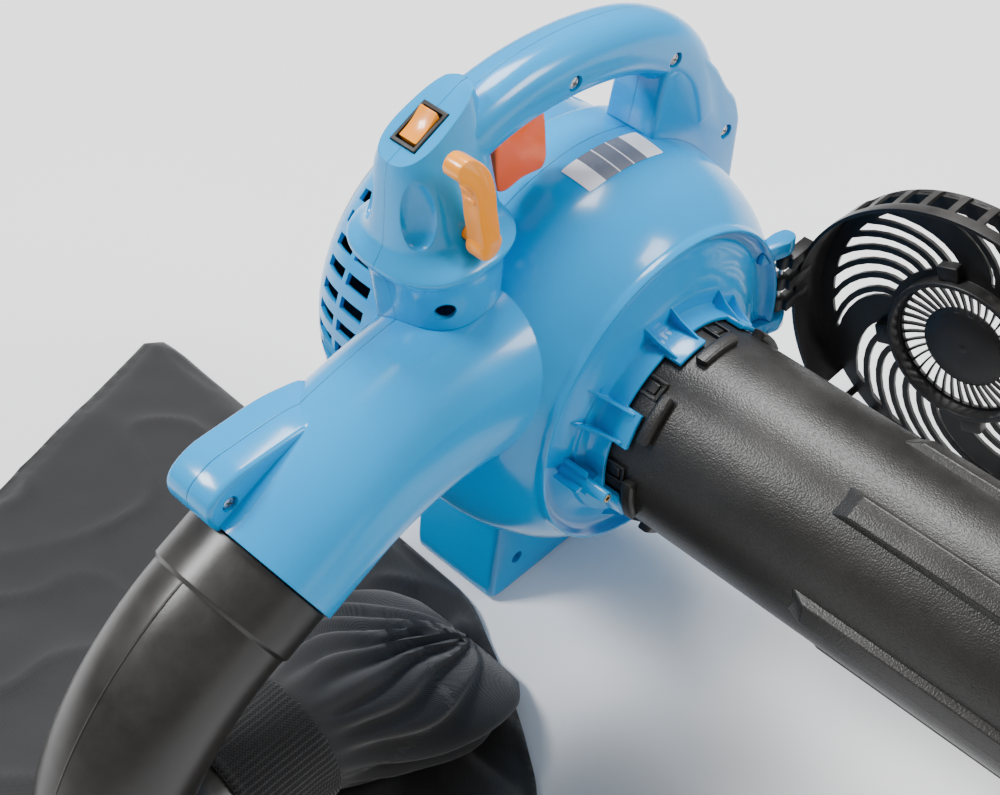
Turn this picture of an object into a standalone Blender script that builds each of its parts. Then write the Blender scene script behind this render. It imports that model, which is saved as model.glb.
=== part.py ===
"""Electric garden blower and vacuum, set up for vacuuming.

Frame: metres, +Z up. The origin is on the ground below the fan axis, in the plane where the two
casing halves meet. The fan axis runs along Y, with the air intake on the -Y side and the motor on
the +Y side. Air leaves through the neck towards -X, into the elbow and the debris bag.
"""
import math

import bmesh
import bpy
from mathutils import Matrix, Vector

# Driving dimensions
GAP = 0.0003                 # clearance between pieces that touch
WALL = 0.003                 # moulded wall thickness
FAN_Z = 0.235                # height of the fan axis
VOLUTE_R = 0.143             # outside radius of the fan casing
RIM_R = 0.113                # radius of the raised intake rim
RIM_Y = -0.090               # plane of the intake rim
BACK_Y = 0.034               # outer face of the fan chamber's back wall
MOTOR_Y = 0.118              # end of the vented motor housing
TUBE_R = 0.0686              # outside radius of the suction tube
TUBE_X = -0.0079             # suction tube axis, beside the fan axis
TUBE_Z = FAN_Z - 0.0061
COLLAR_R = TUBE_R + 0.0012   # bore of the collar that holds the suction tube
NECK_R = 0.053               # outside radius of the outlet neck
NECK_Y = -0.020              # plane of the outlet neck's axis
NECK_END = (-0.279, 0.246)   # centre of the outlet, as X and Z
NECK_TILT = math.radians(25) # the outlet points this far below level
ELBOW_R = 0.0485
ELBOW_TIP_R = 0.0425
ELBOW_WALL = 0.0022
GRIP_R = 0.021               # half thickness of the handle grip
POST_X = -0.113              # centre of the handle's front post
HINGE_X, HINGE_Y = 0.121, -0.086   # axis of the intake grille's hinge
GRILLE_R = 0.1165
GRILLE_OPEN = math.radians(92)
FOOT_HALF = 0.075
FOOT_Y0, FOOT_Y1 = -0.004, 0.074
FOOT_SEAT_Y = 0.0004         # the foot's lip below this Y reaches under the other casing half
SEGMENTS = 40
MERGE = 0.00002              # vertices closer than this are one

COLOURS = {
    "blue": ((0.0, 0.38, 0.80, 1), 0.25, 0.0),
    "orange": ((1.0, 0.30, 0.0, 1), 0.35, 0.0),
    "black": ((0.035, 0.033, 0.031, 1), 0.5, 0.0),
    "fabric": ((0.02, 0.02, 0.022, 1), 0.9, 0.0),
    "knit": ((0.015, 0.015, 0.016, 1), 0.95, 0.0),
    "steel": ((0.62, 0.62, 0.64, 1), 0.3, 1.0),
    "core": ((0.25, 0.25, 0.27, 1), 0.5, 1.0),
    "copper": ((0.72, 0.30, 0.12, 1), 0.35, 1.0),
    "brass": ((0.75, 0.55, 0.22, 1), 0.3, 1.0),
    "aluminium": ((0.70, 0.70, 0.72, 1), 0.4, 1.0),
    "board": ((0.05, 0.25, 0.10, 1), 0.5, 0.0),
    "carbon": ((0.06, 0.06, 0.06, 1), 0.6, 0.0),
}


def clear_scene():
    for obj in list(bpy.data.objects):
        bpy.data.objects.remove(obj, do_unlink=True)


def make_material(name, colour):
    rgba, roughness, metallic = COLOURS[colour]
    mat = bpy.data.materials.new(name)
    mat.use_nodes = True
    shader = mat.node_tree.nodes["Principled BSDF"]
    shader.inputs["Base Color"].default_value = rgba
    shader.inputs["Roughness"].default_value = roughness
    shader.inputs["Metallic"].default_value = metallic
    return mat


def solid(bm, name="work"):
    """Turn a closed bmesh into an object whose faces point outwards."""
    bmesh.ops.remove_doubles(bm, verts=bm.verts, dist=1e-6)
    bmesh.ops.recalc_face_normals(bm, faces=bm.faces)
    mesh = bpy.data.meshes.new(name)
    bm.to_mesh(mesh)
    bm.free()
    obj = bpy.data.objects.new(name, mesh)
    bpy.context.collection.objects.link(obj)
    return obj


def weld(mesh):
    """Merge the hairline slivers that a cut leaves behind."""
    bm = bmesh.new()
    bm.from_mesh(mesh)
    bmesh.ops.remove_doubles(bm, verts=bm.verts, dist=MERGE)
    bmesh.ops.dissolve_degenerate(bm, dist=MERGE, edges=bm.edges)
    bm.to_mesh(mesh)
    bm.free()


def boolean(target, tool, operation):
    """Cut, join or intersect two work objects and keep the first one's name."""
    mod = target.modifiers.new("boolean", "BOOLEAN")
    mod.operation = operation
    mod.solver = "EXACT"
    mod.object = tool
    evaluated = target.evaluated_get(bpy.context.evaluated_depsgraph_get())
    mesh = bpy.data.meshes.new_from_object(evaluated)
    target.modifiers.clear()
    target.data = mesh
    weld(mesh)
    bpy.data.objects.remove(tool, do_unlink=True)
    return target


def cut(target, *tools):
    for tool in tools:
        boolean(target, tool, "DIFFERENCE")
    return target


def join(target, *tools):
    for tool in tools:
        boolean(target, tool, "UNION")
    return target


def finish(obj, name, colour, pivot=None):
    """Name a finished piece, give it its material, and put its origin on its joint's axis."""
    obj.name = name
    obj.data.name = name
    if pivot is not None:
        obj.data.transform(Matrix.Translation(-Vector(pivot)))
        obj.location = pivot
    obj.data.materials.clear()
    obj.data.materials.append(make_material(name, colour))
    obj.data.shade_smooth()
    obj.data.set_sharp_from_angle(angle=math.radians(35))
    return obj


def loft(rings):
    """Skin a list of equal rings and close both ends."""
    bm = bmesh.new()
    loops = [[bm.verts.new(point) for point in ring] for ring in rings]
    count = len(rings[0])
    for low, high in zip(loops, loops[1:]):
        for i in range(count):
            j = (i + 1) % count
            bm.faces.new((low[i], low[j], high[j], high[i]))
    bm.faces.new(loops[0])
    bm.faces.new(loops[-1])
    return solid(bm)


def pipe(outer, inner):
    """Skin a tube with open ends between matching outer and inner rings."""
    bm = bmesh.new()
    out = [[bm.verts.new(point) for point in ring] for ring in outer]
    ins = [[bm.verts.new(point) for point in ring] for ring in inner]
    chain = out + ins[::-1]
    count = len(outer[0])
    for low, high in zip(chain, chain[1:] + chain[:1]):
        for i in range(count):
            j = (i + 1) % count
            bm.faces.new((low[i], low[j], high[j], high[i]))
    return solid(bm)


def turned(profile, centre=(0.0, FAN_Z), segments=SEGMENTS, closed=False):
    """Turn (radius, y) points about a line along Y. A closed profile makes a ring with a bore."""
    bm = bmesh.new()
    loops = []
    for radius, y in profile:
        if radius < 1e-7:
            loops.append([bm.verts.new((centre[0], y, centre[1]))])
            continue
        ring = []
        for i in range(segments):
            angle = 2 * math.pi * i / segments
            x = centre[0] + radius * math.cos(angle)
            z = centre[1] + radius * math.sin(angle)
            ring.append(bm.verts.new((x, y, z)))
        loops.append(ring)
    pairs = list(zip(loops, loops[1:]))
    if closed:
        pairs.append((loops[-1], loops[0]))
    for low, high in pairs:
        for i in range(segments):
            j = (i + 1) % segments
            face = [low[i % len(low)], low[j % len(low)], high[j % len(high)], high[i % len(high)]]
            bm.faces.new(list(dict.fromkeys(face)))
    return solid(bm)


def rod(radius, start, end, segments=16):
    """A plain round bar between two points."""
    start, end = Vector(start), Vector(end)
    axis = (end - start).normalized()
    side = axis.orthogonal().normalized()
    other = axis.cross(side)
    rings = []
    for centre in (start, end):
        ring = []
        for i in range(segments):
            angle = 2 * math.pi * i / segments
            ring.append(centre + radius * (math.cos(angle) * side + math.sin(angle) * other))
        rings.append(ring)
    return loft(rings)


def box(low, high):
    bm = bmesh.new()
    bmesh.ops.create_cube(bm, size=1.0)
    low, high = Vector(low), Vector(high)
    bmesh.ops.scale(bm, vec=high - low, verts=bm.verts)
    bmesh.ops.translate(bm, vec=(low + high) / 2, verts=bm.verts)
    return solid(bm)


def plate(outline, y0, y1):
    """Extrude an (x, z) outline from one Y to another."""
    return loft([[(x, y, z) for x, z in outline] for y in (y0, y1)])


def oval(centre, along, across, a, b, segments=32, power=2.0):
    """A superellipse ring about a centre, from two perpendicular directions."""
    ring = []
    for i in range(segments):
        angle = 2 * math.pi * i / segments
        c, s = math.cos(angle), math.sin(angle)
        u = math.copysign(abs(c) ** (2 / power), c) * a
        v = math.copysign(abs(s) ** (2 / power), s) * b
        ring.append(Vector(centre) + u * Vector(along) + v * Vector(across))
    return ring


# ---------------------------------------------------------------- fan casing

SHOULDER = [(VOLUTE_R, -0.010), (0.1415, -0.030), (0.137, -0.049), (0.129, -0.066),
            (0.119, -0.079), (RIM_R + 0.001, -0.0845)]
DISH = [(RIM_R, RIM_Y + 0.001), (RIM_R - 0.002, RIM_Y), (0.1085, RIM_Y + 0.004),
        (0.103, RIM_Y + 0.0075), (0.094, RIM_Y + 0.004), (0.082, RIM_Y - 0.004)]
INNER_WALL = [(0.140, -0.010), (0.1385, -0.029), (0.134, -0.0475), (0.1265, -0.063),
              (0.1165, -0.0755), (0.110, -0.0785)]
INNER_DISH = [(0.103, RIM_Y + 0.0107), (0.094, RIM_Y + 0.0075), (0.082, RIM_Y - 0.0005)]


def casing_blank(grow=0.0):
    """The full outside of the fan casing and the outlet neck, before it is hollowed and split."""
    back = [(0.0, BACK_Y + grow), (0.134 + grow, BACK_Y + grow), (0.141 + grow, 0.031),
            (VOLUTE_R + grow, 0.027)]
    front = [(r + grow, y - grow * 0.5) for r, y in SHOULDER + DISH]
    shell = turned(back + front + [(0.0, RIM_Y - 0.004)], segments=40)
    return join(shell, neck_blank(grow))


def casing_hollow():
    """The air space inside the fan casing and the outlet neck."""
    back = [(0.0, BACK_Y - 0.004), (0.131, BACK_Y - 0.004), (0.138, 0.028), (0.140, 0.024)]
    front = INNER_WALL + INNER_DISH + [(0.0, RIM_Y - 0.0005)]
    return join(turned(back + front, segments=40), neck_hollow())


def neck_stations():
    """Centre and direction of the neck from the outlet back into the casing."""
    tip = Vector((NECK_END[0], NECK_Y, NECK_END[1]))
    down = Vector((-math.cos(NECK_TILT), 0, -math.sin(NECK_TILT)))
    rest = [((-0.245, 0.262), 23, 1.0), ((-0.210, 0.275), 18, 0.97),
            ((-0.170, 0.283), 8, 0.95), ((-0.125, 0.286), 2, 0.95), ((-0.075, 0.286), 0, 0.95)]
    stations = [(tip, down, 1.0)]
    for (x, z), tilt, size in rest:
        angle = math.radians(tilt)
        stations.append((Vector((x, NECK_Y, z)),
                         Vector((-math.cos(angle), 0, -math.sin(angle))), size))
    return stations


def neck_ring(centre, direction, radius):
    up = Vector((direction.z, 0, -direction.x))
    return oval(centre, (0, 1, 0), up, radius, radius)


def neck_blank(grow=0.0):
    rings = [neck_ring(c, d, (NECK_R + grow) * k) for c, d, k in neck_stations()]
    return loft(rings)


def neck_hollow():
    stations = neck_stations()
    tip, down, _ = stations[0]
    rings = [neck_ring(tip + down * 0.01, down, NECK_R - WALL)]
    rings += [neck_ring(c, d, NECK_R * k - WALL) for c, d, k in stations]
    return loft(rings)


def fairing():
    """The raised housing on top of the outlet, which takes the clamping screw."""
    outline = [(-0.292, 0.284), (-0.3075, 0.305), (-0.300, 0.320), (-0.285, 0.3235),
               (-0.235, 0.3235), (-0.208, 0.310), (-0.214, 0.295)]
    return plate(outline, -0.019, 0.020)


def screw_cuts(x, z, head_y, end_y):
    """Counterbore and pilot hole for a screw that goes in from the -Y side."""
    return [rod(0.0052, (x, head_y - 0.03, z), (x, head_y + 0.004, z)),
            rod(0.0024, (x, head_y, z), (x, end_y, z), 10)]


def screw(x, z, head_y, end_y):
    """A pan head screw along +Y, with a cross recess."""
    body = rod(0.0043, (x, head_y + 0.0008, z), (x, head_y + 0.0036, z))
    join(body, rod(0.0020, (x, head_y + 0.003, z), (x, end_y - 0.002, z), 8))
    for sx, sz in ((0.0027, 0.0007), (0.0007, 0.0027)):
        cut(body, box((x - sx, head_y, z - sz), (x + sx, head_y + 0.0018, z + sz)))
    return body


FAIRING_SCREW = (-0.292, 0.3055, -0.019, 0.014)
HINGE_LUGS_Z = (FAN_Z + 0.046, FAN_Z - 0.022)
TAB_ANGLES = (97, 147, 197, 247, 297, 347, 47)
BOSS = (TUBE_X - 0.0835, FAN_Z - 0.006)


def arc_block(r0, r1, y0, y1, angle, half):
    """A curved block of the tube collar, about the suction tube's axis."""
    steps = 5
    outline = []
    for radius, sign in ((r0, 1), (r1, -1)):
        for i in range(steps):
            a = math.radians(angle + sign * half * (2 * i / (steps - 1) - 1))
            outline.append((TUBE_X + radius * math.cos(a), TUBE_Z + radius * math.sin(a)))
    return plate(outline, y0, y1)


def build_intake_shell():
    shell = casing_blank()
    join(shell, fairing())
    cut(shell, casing_hollow())
    cut(shell, box((-0.5, GAP * -0.5, 0.0), (0.5, 0.2, 0.6)))
    collar = [(COLLAR_R - 0.002, RIM_Y - 0.0025), (COLLAR_R - 0.002, RIM_Y - 0.019),
              (COLLAR_R + WALL, RIM_Y - 0.019), (COLLAR_R + WALL + 0.009, RIM_Y - 0.0025)]
    join(shell, turned(collar, centre=(TUBE_X, TUBE_Z), closed=True))
    for angle in TAB_ANGLES:
        join(shell, arc_block(COLLAR_R - 0.001, COLLAR_R + 0.0028, RIM_Y - 0.031,
                              RIM_Y - 0.017, angle, 9.5))
    join(shell, rod(0.0045, (BOSS[0], RIM_Y + 0.001, BOSS[1]), (BOSS[0], RIM_Y - 0.033, BOSS[1])))
    for z in HINGE_LUGS_Z:
        arm = [(0.100, RIM_Y + 0.004), (0.100, RIM_Y + 0.012), (0.118, RIM_Y + 0.0115),
               (0.1255, RIM_Y + 0.009), (0.1275, RIM_Y + 0.004), (0.1255, RIM_Y - 0.001),
               (0.118, RIM_Y - 0.002)]
        join(shell, loft([[(x, y, z + dz) for x, y in arm] for dz in (-0.006, 0.006)]))
    bore = rod(COLLAR_R, (TUBE_X, -0.2, TUBE_Z), (TUBE_X, RIM_Y + 0.02, TUBE_Z), 48)
    cut(shell, bore)
    cut(shell, rod(0.0031, (BOSS[0], -0.2, BOSS[1]), (BOSS[0], RIM_Y - 0.022, BOSS[1])))
    cut(shell, rod(0.0021, (HINGE_X, HINGE_Y, 0.15), (HINGE_X, HINGE_Y, 0.32), 12))
    cut(shell, *screw_cuts(*FAIRING_SCREW))
    return finish(shell, "intake_shell", "blue")


def foot_outline(inset=0.0):
    """Side view of the foot block as (x, z)."""
    half = FOOT_HALF - inset
    return [(-half, inset), (half, inset), (half - 0.004, 0.03), (half - 0.016, 0.110 + inset),
            (-half + 0.016, 0.110 + inset), (-half + 0.004, 0.03)]


def build_motor_side_shell():
    shell = casing_blank()
    join(shell, fairing())
    cut(shell, box((-0.5, -0.2, 0.0), (0.5, GAP * 0.5, 0.6)))
    join(shell, plate(foot_outline(), FOOT_SEAT_Y, FOOT_Y1))
    join(shell, cut(plate(foot_outline(), FOOT_Y0, 2 * FOOT_SEAT_Y), casing_blank(GAP)))
    inside = plate(foot_outline(WALL), 0.003, FOOT_Y1 - WALL)
    cut(inside, turned([(0.0, 0.2), (0.1433, 0.2), (0.1433, -0.1), (0.0, -0.1)], segments=40))
    cut(shell, casing_hollow(), inside)
    motor_space = [(0.0, 0.2), (0.1433, 0.2), (0.1433, BACK_Y + GAP), (0.0, BACK_Y + GAP)]
    cut(shell, turned(motor_space, segments=40))
    cut(shell, rod(0.0052, (-0.046, -0.02, 0.026), (-0.046, 0.012, 0.026)))
    cut(shell, rod(0.030, (0, 0.02, FAN_Z), (0, 0.05, FAN_Z), 24))
    cut(shell, *screw_cuts(*FAIRING_SCREW))
    return finish(shell, "motor_side_shell", "blue")


def build_motor_housing():
    outer = [(0.1335, BACK_Y + 2 * GAP), (0.1335, 0.050), (0.1315, 0.075), (0.127, 0.095),
             (0.119, 0.110), (0.112, MOTOR_Y)]
    inner = [(0.106, MOTOR_Y), (0.1125, 0.109), (0.123, 0.093), (0.1275, 0.074),
             (0.1295, 0.050), (0.1295, BACK_Y + 2 * GAP)]
    housing = turned(outer + inner, closed=True)
    slots = 18
    for i in range(slots):
        angle = 2 * math.pi * (i + 0.5) / slots
        if 220 < math.degrees(angle) < 320:
            continue
        slot = box((0.09, 0.060, -0.007), (0.16, 0.104, 0.007))
        slot.data.transform(Matrix.Translation((0, 0, FAN_Z)) @ Matrix.Rotation(-angle, 4, "Y"))
        cut(housing, slot)
    return finish(housing, "motor_housing", "blue")


def build_motor_end_cover():
    y = MOTOR_Y + GAP
    profile = [(0.0, y + 0.020), (0.070, y + 0.019), (0.095, y + 0.012), (0.108, y + 0.003),
               (0.1105, y), (0.1065, y), (0.104, y + 0.002), (0.092, y + 0.009),
               (0.069, y + 0.0155), (0.0, y + 0.0165)]
    return finish(turned(profile), "motor_end_cover", "black")


# ---------------------------------------------------------------- handle

GRIP_PATH = [(-0.100, 0.4385), (-0.085, 0.446), (-0.050, 0.451), (-0.010, 0.4495),
             (0.030, 0.4415), (0.060, 0.429), (0.084, 0.411), (0.100, 0.388), (0.108, 0.360)]
LEG = [(0.066, 0.412), (0.0575, 0.376), (0.050, 0.350), (0.120, 0.270), (0.1455, 0.281),
       (0.1485, 0.334), (0.142, 0.352), (0.131, 0.366), (0.116, 0.392), (0.100, 0.405)]
POST_SECTIONS = [
    # height, centre x, half length along X, half width along Y
    (0.290, -0.113, 0.030, 0.036), (0.360, -0.114, 0.036, 0.038), (0.376, -0.115, 0.041, 0.042),
    (0.382, -0.116, 0.0455, 0.0455), (0.390, -0.116, 0.0455, 0.0455),
    (0.396, -0.114, 0.0405, 0.0350), (0.404, -0.1133, 0.0387, 0.0313),
    (0.440, -0.1122, 0.0367, 0.0271), (0.474, -0.1113, 0.0347, 0.0233)]
ROCKER_SLOPE = math.radians(23.6)
ROCKER_CENTRE = (-0.122, 0.4625)
HANDLE_SCREWS = [(-0.019, 0.4475, -GRIP_R, 0.016), (0.072, 0.418, -GRIP_R, 0.016),
                 (0.133, 0.330, -0.020, 0.016)]


def grip_rings(radius):
    rings = []
    last = len(GRIP_PATH) - 1
    for i, (x, z) in enumerate(GRIP_PATH):
        before, after = GRIP_PATH[max(i - 1, 0)], GRIP_PATH[min(i + 1, last)]
        along = Vector((after[0] - before[0], 0, after[1] - before[1])).normalized()
        up = Vector((-along.z, 0, along.x))
        rings.append(oval((x, 0, z), (0, 1, 0), up, radius, radius, 24, 2.3))
    return rings


def post_blank(inset=0.0):
    rings = []
    for z, x, a, b in POST_SECTIONS:
        rings.append(oval((x, 0, z), (1, 0, 0), (0, 1, 0), a - inset, b - inset, 32, 2.6))
    return loft(rings)


def rocker_frame():
    """Origin on the sloping switch face, X down the slope to the front, Z out of it."""
    return Matrix.Translation((ROCKER_CENTRE[0], 0, ROCKER_CENTRE[1])) @ \
        Matrix.Rotation(-ROCKER_SLOPE, 4, "Y")


def above_switch_face(drop=0.0):
    """Everything above the sloping face that carries the rocker switch."""
    tool = box((-0.12, -0.1, -drop), (0.12, 0.1, 0.1))
    tool.data.transform(rocker_frame())
    return tool


def post_solid(inset=0.0):
    return cut(post_blank(inset), above_switch_face(inset))


def grip_solid(inset=0.0):
    return loft(grip_rings(GRIP_R - inset))


def leg_blank(inset=0.0):
    if inset == 0.0:
        return plate(LEG, -0.020, 0.020)
    centre = Vector((sum(x for x, _ in LEG) / len(LEG), sum(z for _, z in LEG) / len(LEG)))
    outline = []
    for x, z in LEG:
        towards = (centre - Vector((x, z))).normalized()
        outline.append((x + towards.x * inset, z + towards.y * inset))
    return plate(outline, -0.020 + inset, 0.020 - inset)


def handle_shell():
    """Outside and hollow of the whole handle, seated on the casing."""
    shell = join(post_solid(), grip_solid(), leg_blank())
    cut(shell, post_solid(WALL), grip_solid(WALL), leg_blank(0.0045), casing_blank(GAP))
    motor_side = [(0.0, 0.1), (0.1340, 0.1), (0.1340, 0.03), (0.0, 0.03)]
    return cut(shell, turned(motor_side))


def bezel_cut():
    tool = box((-0.0148, -0.0098, -0.022), (0.0148, 0.0098, 0.02))
    tool.data.transform(rocker_frame())
    return tool


TRIGGER = [(-0.0705, 0.432), (-0.0700, 0.400), (-0.0690, 0.389), (-0.0620, 0.3855),
           (-0.0480, 0.3880), (-0.0300, 0.3850), (-0.0265, 0.392), (-0.0285, 0.420),
           (-0.0310, 0.4365), (-0.0660, 0.4375)]
TRIGGER_PIVOT = (-0.0665, 0.4335)
LEVER_PATH = [(-0.1375, 0.4700), (-0.1290, 0.4675), (-0.1190, 0.4580), (-0.1130, 0.4440),
              (-0.1110, 0.4290), (-0.1145, 0.4160), (-0.1170, 0.4060)]
LEVER_PIVOT = (-0.1170, 0.4030)
LEVER_Y = (-0.0372, -0.0500)
GLAND = (0.110, 0.345)        # where the mains cord enters the leg, as X and Z


def build_handle_halves():
    halves = []
    for name, keep_low in (("handle_half_intake", True), ("handle_half_motor", False)):
        shell = handle_shell()
        if keep_low:
            cut(shell, box((-0.3, -GAP * 0.5, 0.2), (0.3, 0.2, 0.6)))
        else:
            cut(shell, box((-0.3, -0.2, 0.2), (0.3, GAP * 0.5, 0.6)))
        cut(shell, bezel_cut())
        cut(shell, box((-0.0745, -0.0078, 0.38), (-0.0225, 0.0078, 0.4415)))
        for x, z, head_y, end_y in HANDLE_SCREWS:
            if keep_low:
                join(shell, rod(0.0072, (x, head_y + 0.0015, z), (x, -GAP, z)))
                cut(shell, *screw_cuts(x, z, head_y, 0.03))
            else:
                join(shell, rod(0.0062, (x, GAP, z), (x, 0.0185, z)))
                cut(shell, rod(0.0024, (x, -0.01, z), (x, end_y, z), 10))
        if not keep_low:
            cut(shell, rod(0.0075, (GLAND[0], 0.010, GLAND[1]), (GLAND[0], 0.030, GLAND[1]), 20))
        if keep_low:
            lever_hole = rod(0.0046, (LEVER_PIVOT[0], -0.06, LEVER_PIVOT[1]),
                             (LEVER_PIVOT[0], -0.015, LEVER_PIVOT[1]))
            cut(shell, lever_hole)
        halves.append(finish(shell, name, "blue"))
    return halves


def build_handle_controls():
    trigger = plate(TRIGGER, -0.0070, 0.0070)
    finish(trigger, "trigger", "orange", (TRIGGER_PIVOT[0], 0, TRIGGER_PIVOT[1]))

    half_width = 0.0052
    outline = []
    for side in (1, -1):
        points = list(enumerate(LEVER_PATH))
        for i, (x, z) in points[::side]:
            before, after = LEVER_PATH[max(i - 1, 0)], LEVER_PATH[min(i + 1, len(LEVER_PATH) - 1)]
            along = Vector((after[0] - before[0], after[1] - before[1])).normalized()
            outline.append((x - along.y * half_width * side, z + along.x * half_width * side))
    lever = plate(outline, *LEVER_Y)
    px, pz = LEVER_PIVOT
    join(lever, rod(0.0075, (px, LEVER_Y[0], pz), (px, LEVER_Y[1], pz), 20))
    join(lever, rod(0.0042, (px, LEVER_Y[0] - 0.001, pz), (px, -0.0180, pz)))
    finish(lever, "side_lever", "orange", (px, LEVER_Y[0], pz))

    bezel = box((-0.0145, -0.0095, -0.018), (0.0145, 0.0095, 0.0012))
    cut(bezel, box((-0.0120, -0.0072, -0.014), (0.0120, 0.0072, 0.01)))
    bezel.data.transform(rocker_frame())
    finish(bezel, "rocker_bezel", "black")

    shape = [(-0.0100, -0.004), (-0.0100, 0.0008), (0.0, 0.0016), (0.0100, 0.0048),
             (0.0100, -0.004), (0.004, -0.0105), (-0.004, -0.0105)]
    rocker = plate(shape, -0.0067, 0.0067)
    rocker.data.transform(rocker_frame())
    pivot = rocker_frame() @ Vector((0, 0, -0.006))
    finish(rocker, "power_rocker", "orange", pivot)

    finish(box((-0.062, -0.0085, 0.4530), (-0.036, 0.0085, 0.4640)), "trigger_switch", "black")
    finish(box((-0.134, -0.0180, 0.4020), (-0.1325, 0.0180, 0.4340)), "speed_board", "board")
    finish(rod(0.0070, (-0.104, 0.006, 0.405), (-0.104, 0.006, 0.425)), "capacitor", "brass")
    gx, gz = GLAND
    gland = [(0.0040, 0.0140), (0.0072, 0.0140), (0.0072, 0.0203), (0.0110, 0.0203),
             (0.0110, 0.0226), (0.0075, 0.0240), (0.0055, 0.0450), (0.0040, 0.0450)]
    finish(turned(gland, centre=(gx, gz), segments=20, closed=True), "cable_gland", "black")


def build_fasteners():
    for number, place in enumerate(HANDLE_SCREWS, 1):
        finish(screw(*place), f"handle_screw_{number}", "steel")
    finish(screw(*FAIRING_SCREW), "outlet_screw", "steel")
    nut = turned([(0.0028, RIM_Y - 0.0225), (0.0028, RIM_Y - 0.0328), (0.0016, RIM_Y - 0.0328),
                  (0.0016, RIM_Y - 0.0225)], centre=BOSS, segments=12, closed=True)
    finish(nut, "threaded_insert", "brass")
    finish(rod(0.0018, (HINGE_X, HINGE_Y, HINGE_LUGS_Z[1] - 0.0055),
               (HINGE_X, HINGE_Y, HINGE_LUGS_Z[0] + 0.0055), 12), "hinge_pin", "steel")


# ---------------------------------------------------------------- intake side

def grille_rings():
    """Radii of the grille face's rings, with the depth of each below the rim."""
    return [(0.0, 0.026), (0.032, 0.026), (0.036, 0.026), (0.070, 0.028), (0.076, 0.028),
            (0.082, 0.029), (0.088, 0.030), (0.094, 0.030), (0.100, 0.030), (GRILLE_R - 0.002, 0.030)]


def grille_cell(ring, sector):
    """True where the grille face is solid."""
    if ring == 2:
        return sector % 2 == 0
    if ring in (5, 7):
        return sector % 6 == 0
    return True


def build_intake_grille():
    sectors = 36
    rings = grille_rings()
    thick = 0.003
    bm = bmesh.new()
    rows = []
    for radius, depth in rings:
        if radius == 0.0:
            rows.append([bm.verts.new((0, -depth, 0))] * sectors)
            continue
        row = []
        for i in range(sectors):
            angle = 2 * math.pi * i / sectors
            row.append(bm.verts.new((radius * math.cos(angle), -depth, radius * math.sin(angle))))
        rows.append(row)
    for ring in range(len(rings) - 1):
        for i in range(sectors):
            if grille_cell(ring, i):
                j = (i + 1) % sectors
                corners = (rows[ring][i], rows[ring][j], rows[ring + 1][j], rows[ring + 1][i])
                bm.faces.new(list(dict.fromkeys(corners)))
    bmesh.ops.recalc_face_normals(bm, faces=bm.faces)
    copy = bmesh.ops.extrude_face_region(bm, geom=bm.faces[:])
    moved = [item for item in copy["geom"] if isinstance(item, bmesh.types.BMVert)]
    bmesh.ops.translate(bm, vec=(0, -thick, 0), verts=moved)
    face = solid(bm)
    wall = turned([(GRILLE_R + 0.0012, 0.0), (GRILLE_R, -0.0340), (GRILLE_R - 0.004, -0.0340),
                   (GRILLE_R - 0.0030, 0.0)], centre=(0, 0), segments=40, closed=True)
    join(face, wall)
    knuckle_x = HINGE_X
    rim_y = RIM_Y - 0.009
    for z in (0.031, 0.012, -0.007):
        arm = [(GRILLE_R - 0.003, -0.012), (GRILLE_R - 0.003, -0.001),
               (knuckle_x - 0.003, HINGE_Y - rim_y + 0.0035),
               (knuckle_x + 0.003, HINGE_Y - rim_y + 0.0035),
               (knuckle_x + 0.0045, HINGE_Y - rim_y), (knuckle_x + 0.003, -0.002)]
        join(face, loft([[(x, y, z + dz) for x, y in arm] for dz in (-0.0055, 0.0055)]))
    clip = box((-GRILLE_R - 0.008, -0.030, -0.012), (-GRILLE_R + 0.002, 0.004, 0.012))
    join(face, clip)
    cut(face, rod(0.0021, (knuckle_x, HINGE_Y - rim_y, -0.1), (knuckle_x, HINGE_Y - rim_y, 0.1), 12))
    face.data.transform(Matrix.Translation((0, rim_y, FAN_Z)))
    pivot = Vector((HINGE_X, HINGE_Y, FAN_Z))
    face.data.transform(Matrix.Translation(pivot) @ Matrix.Rotation(GRILLE_OPEN, 4, "Z")
                        @ Matrix.Translation(-pivot))
    return finish(face, "intake_grille", "black", pivot)


TUBE_START = RIM_Y + 0.012
TUBE_JOIN = -0.500
NOZZLE_BEND = math.radians(38)
NOZZLE_BEND_Y = -0.660
NOZZLE_BEND_R = 0.150
LOWER_R = TUBE_R - 0.0030
RIB_ANGLES = (58, 118, 178, 238, 298, 358)


def tube_ring(radius, y, z=TUBE_Z, tilt=0.0):
    return oval((TUBE_X, y, z), (1, 0, 0), (0, math.sin(tilt), math.cos(tilt)), radius, radius, 32)


def build_upper_tube():
    wall = 0.0025
    ends = (TUBE_START, TUBE_JOIN)
    tube = pipe([tube_ring(TUBE_R, y) for y in ends], [tube_ring(TUBE_R - wall, y) for y in ends])
    for angle in RIB_ANGLES:
        rib = [(TUBE_R - 0.001, -0.254), (TUBE_R + 0.0045, -0.266), (TUBE_R + 0.0045, -0.470),
               (TUBE_R - 0.001, -0.482)]
        bar = loft([[(r, y, s) for r, y in rib] for s in (-0.0085, 0.0085)])
        turn = Matrix.Translation((TUBE_X, 0, TUBE_Z)) @ Matrix.Rotation(-math.radians(angle), 4, "Y")
        bar.data.transform(turn)
        join(tube, bar)
    return finish(tube, "upper_tube", "black")


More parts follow.
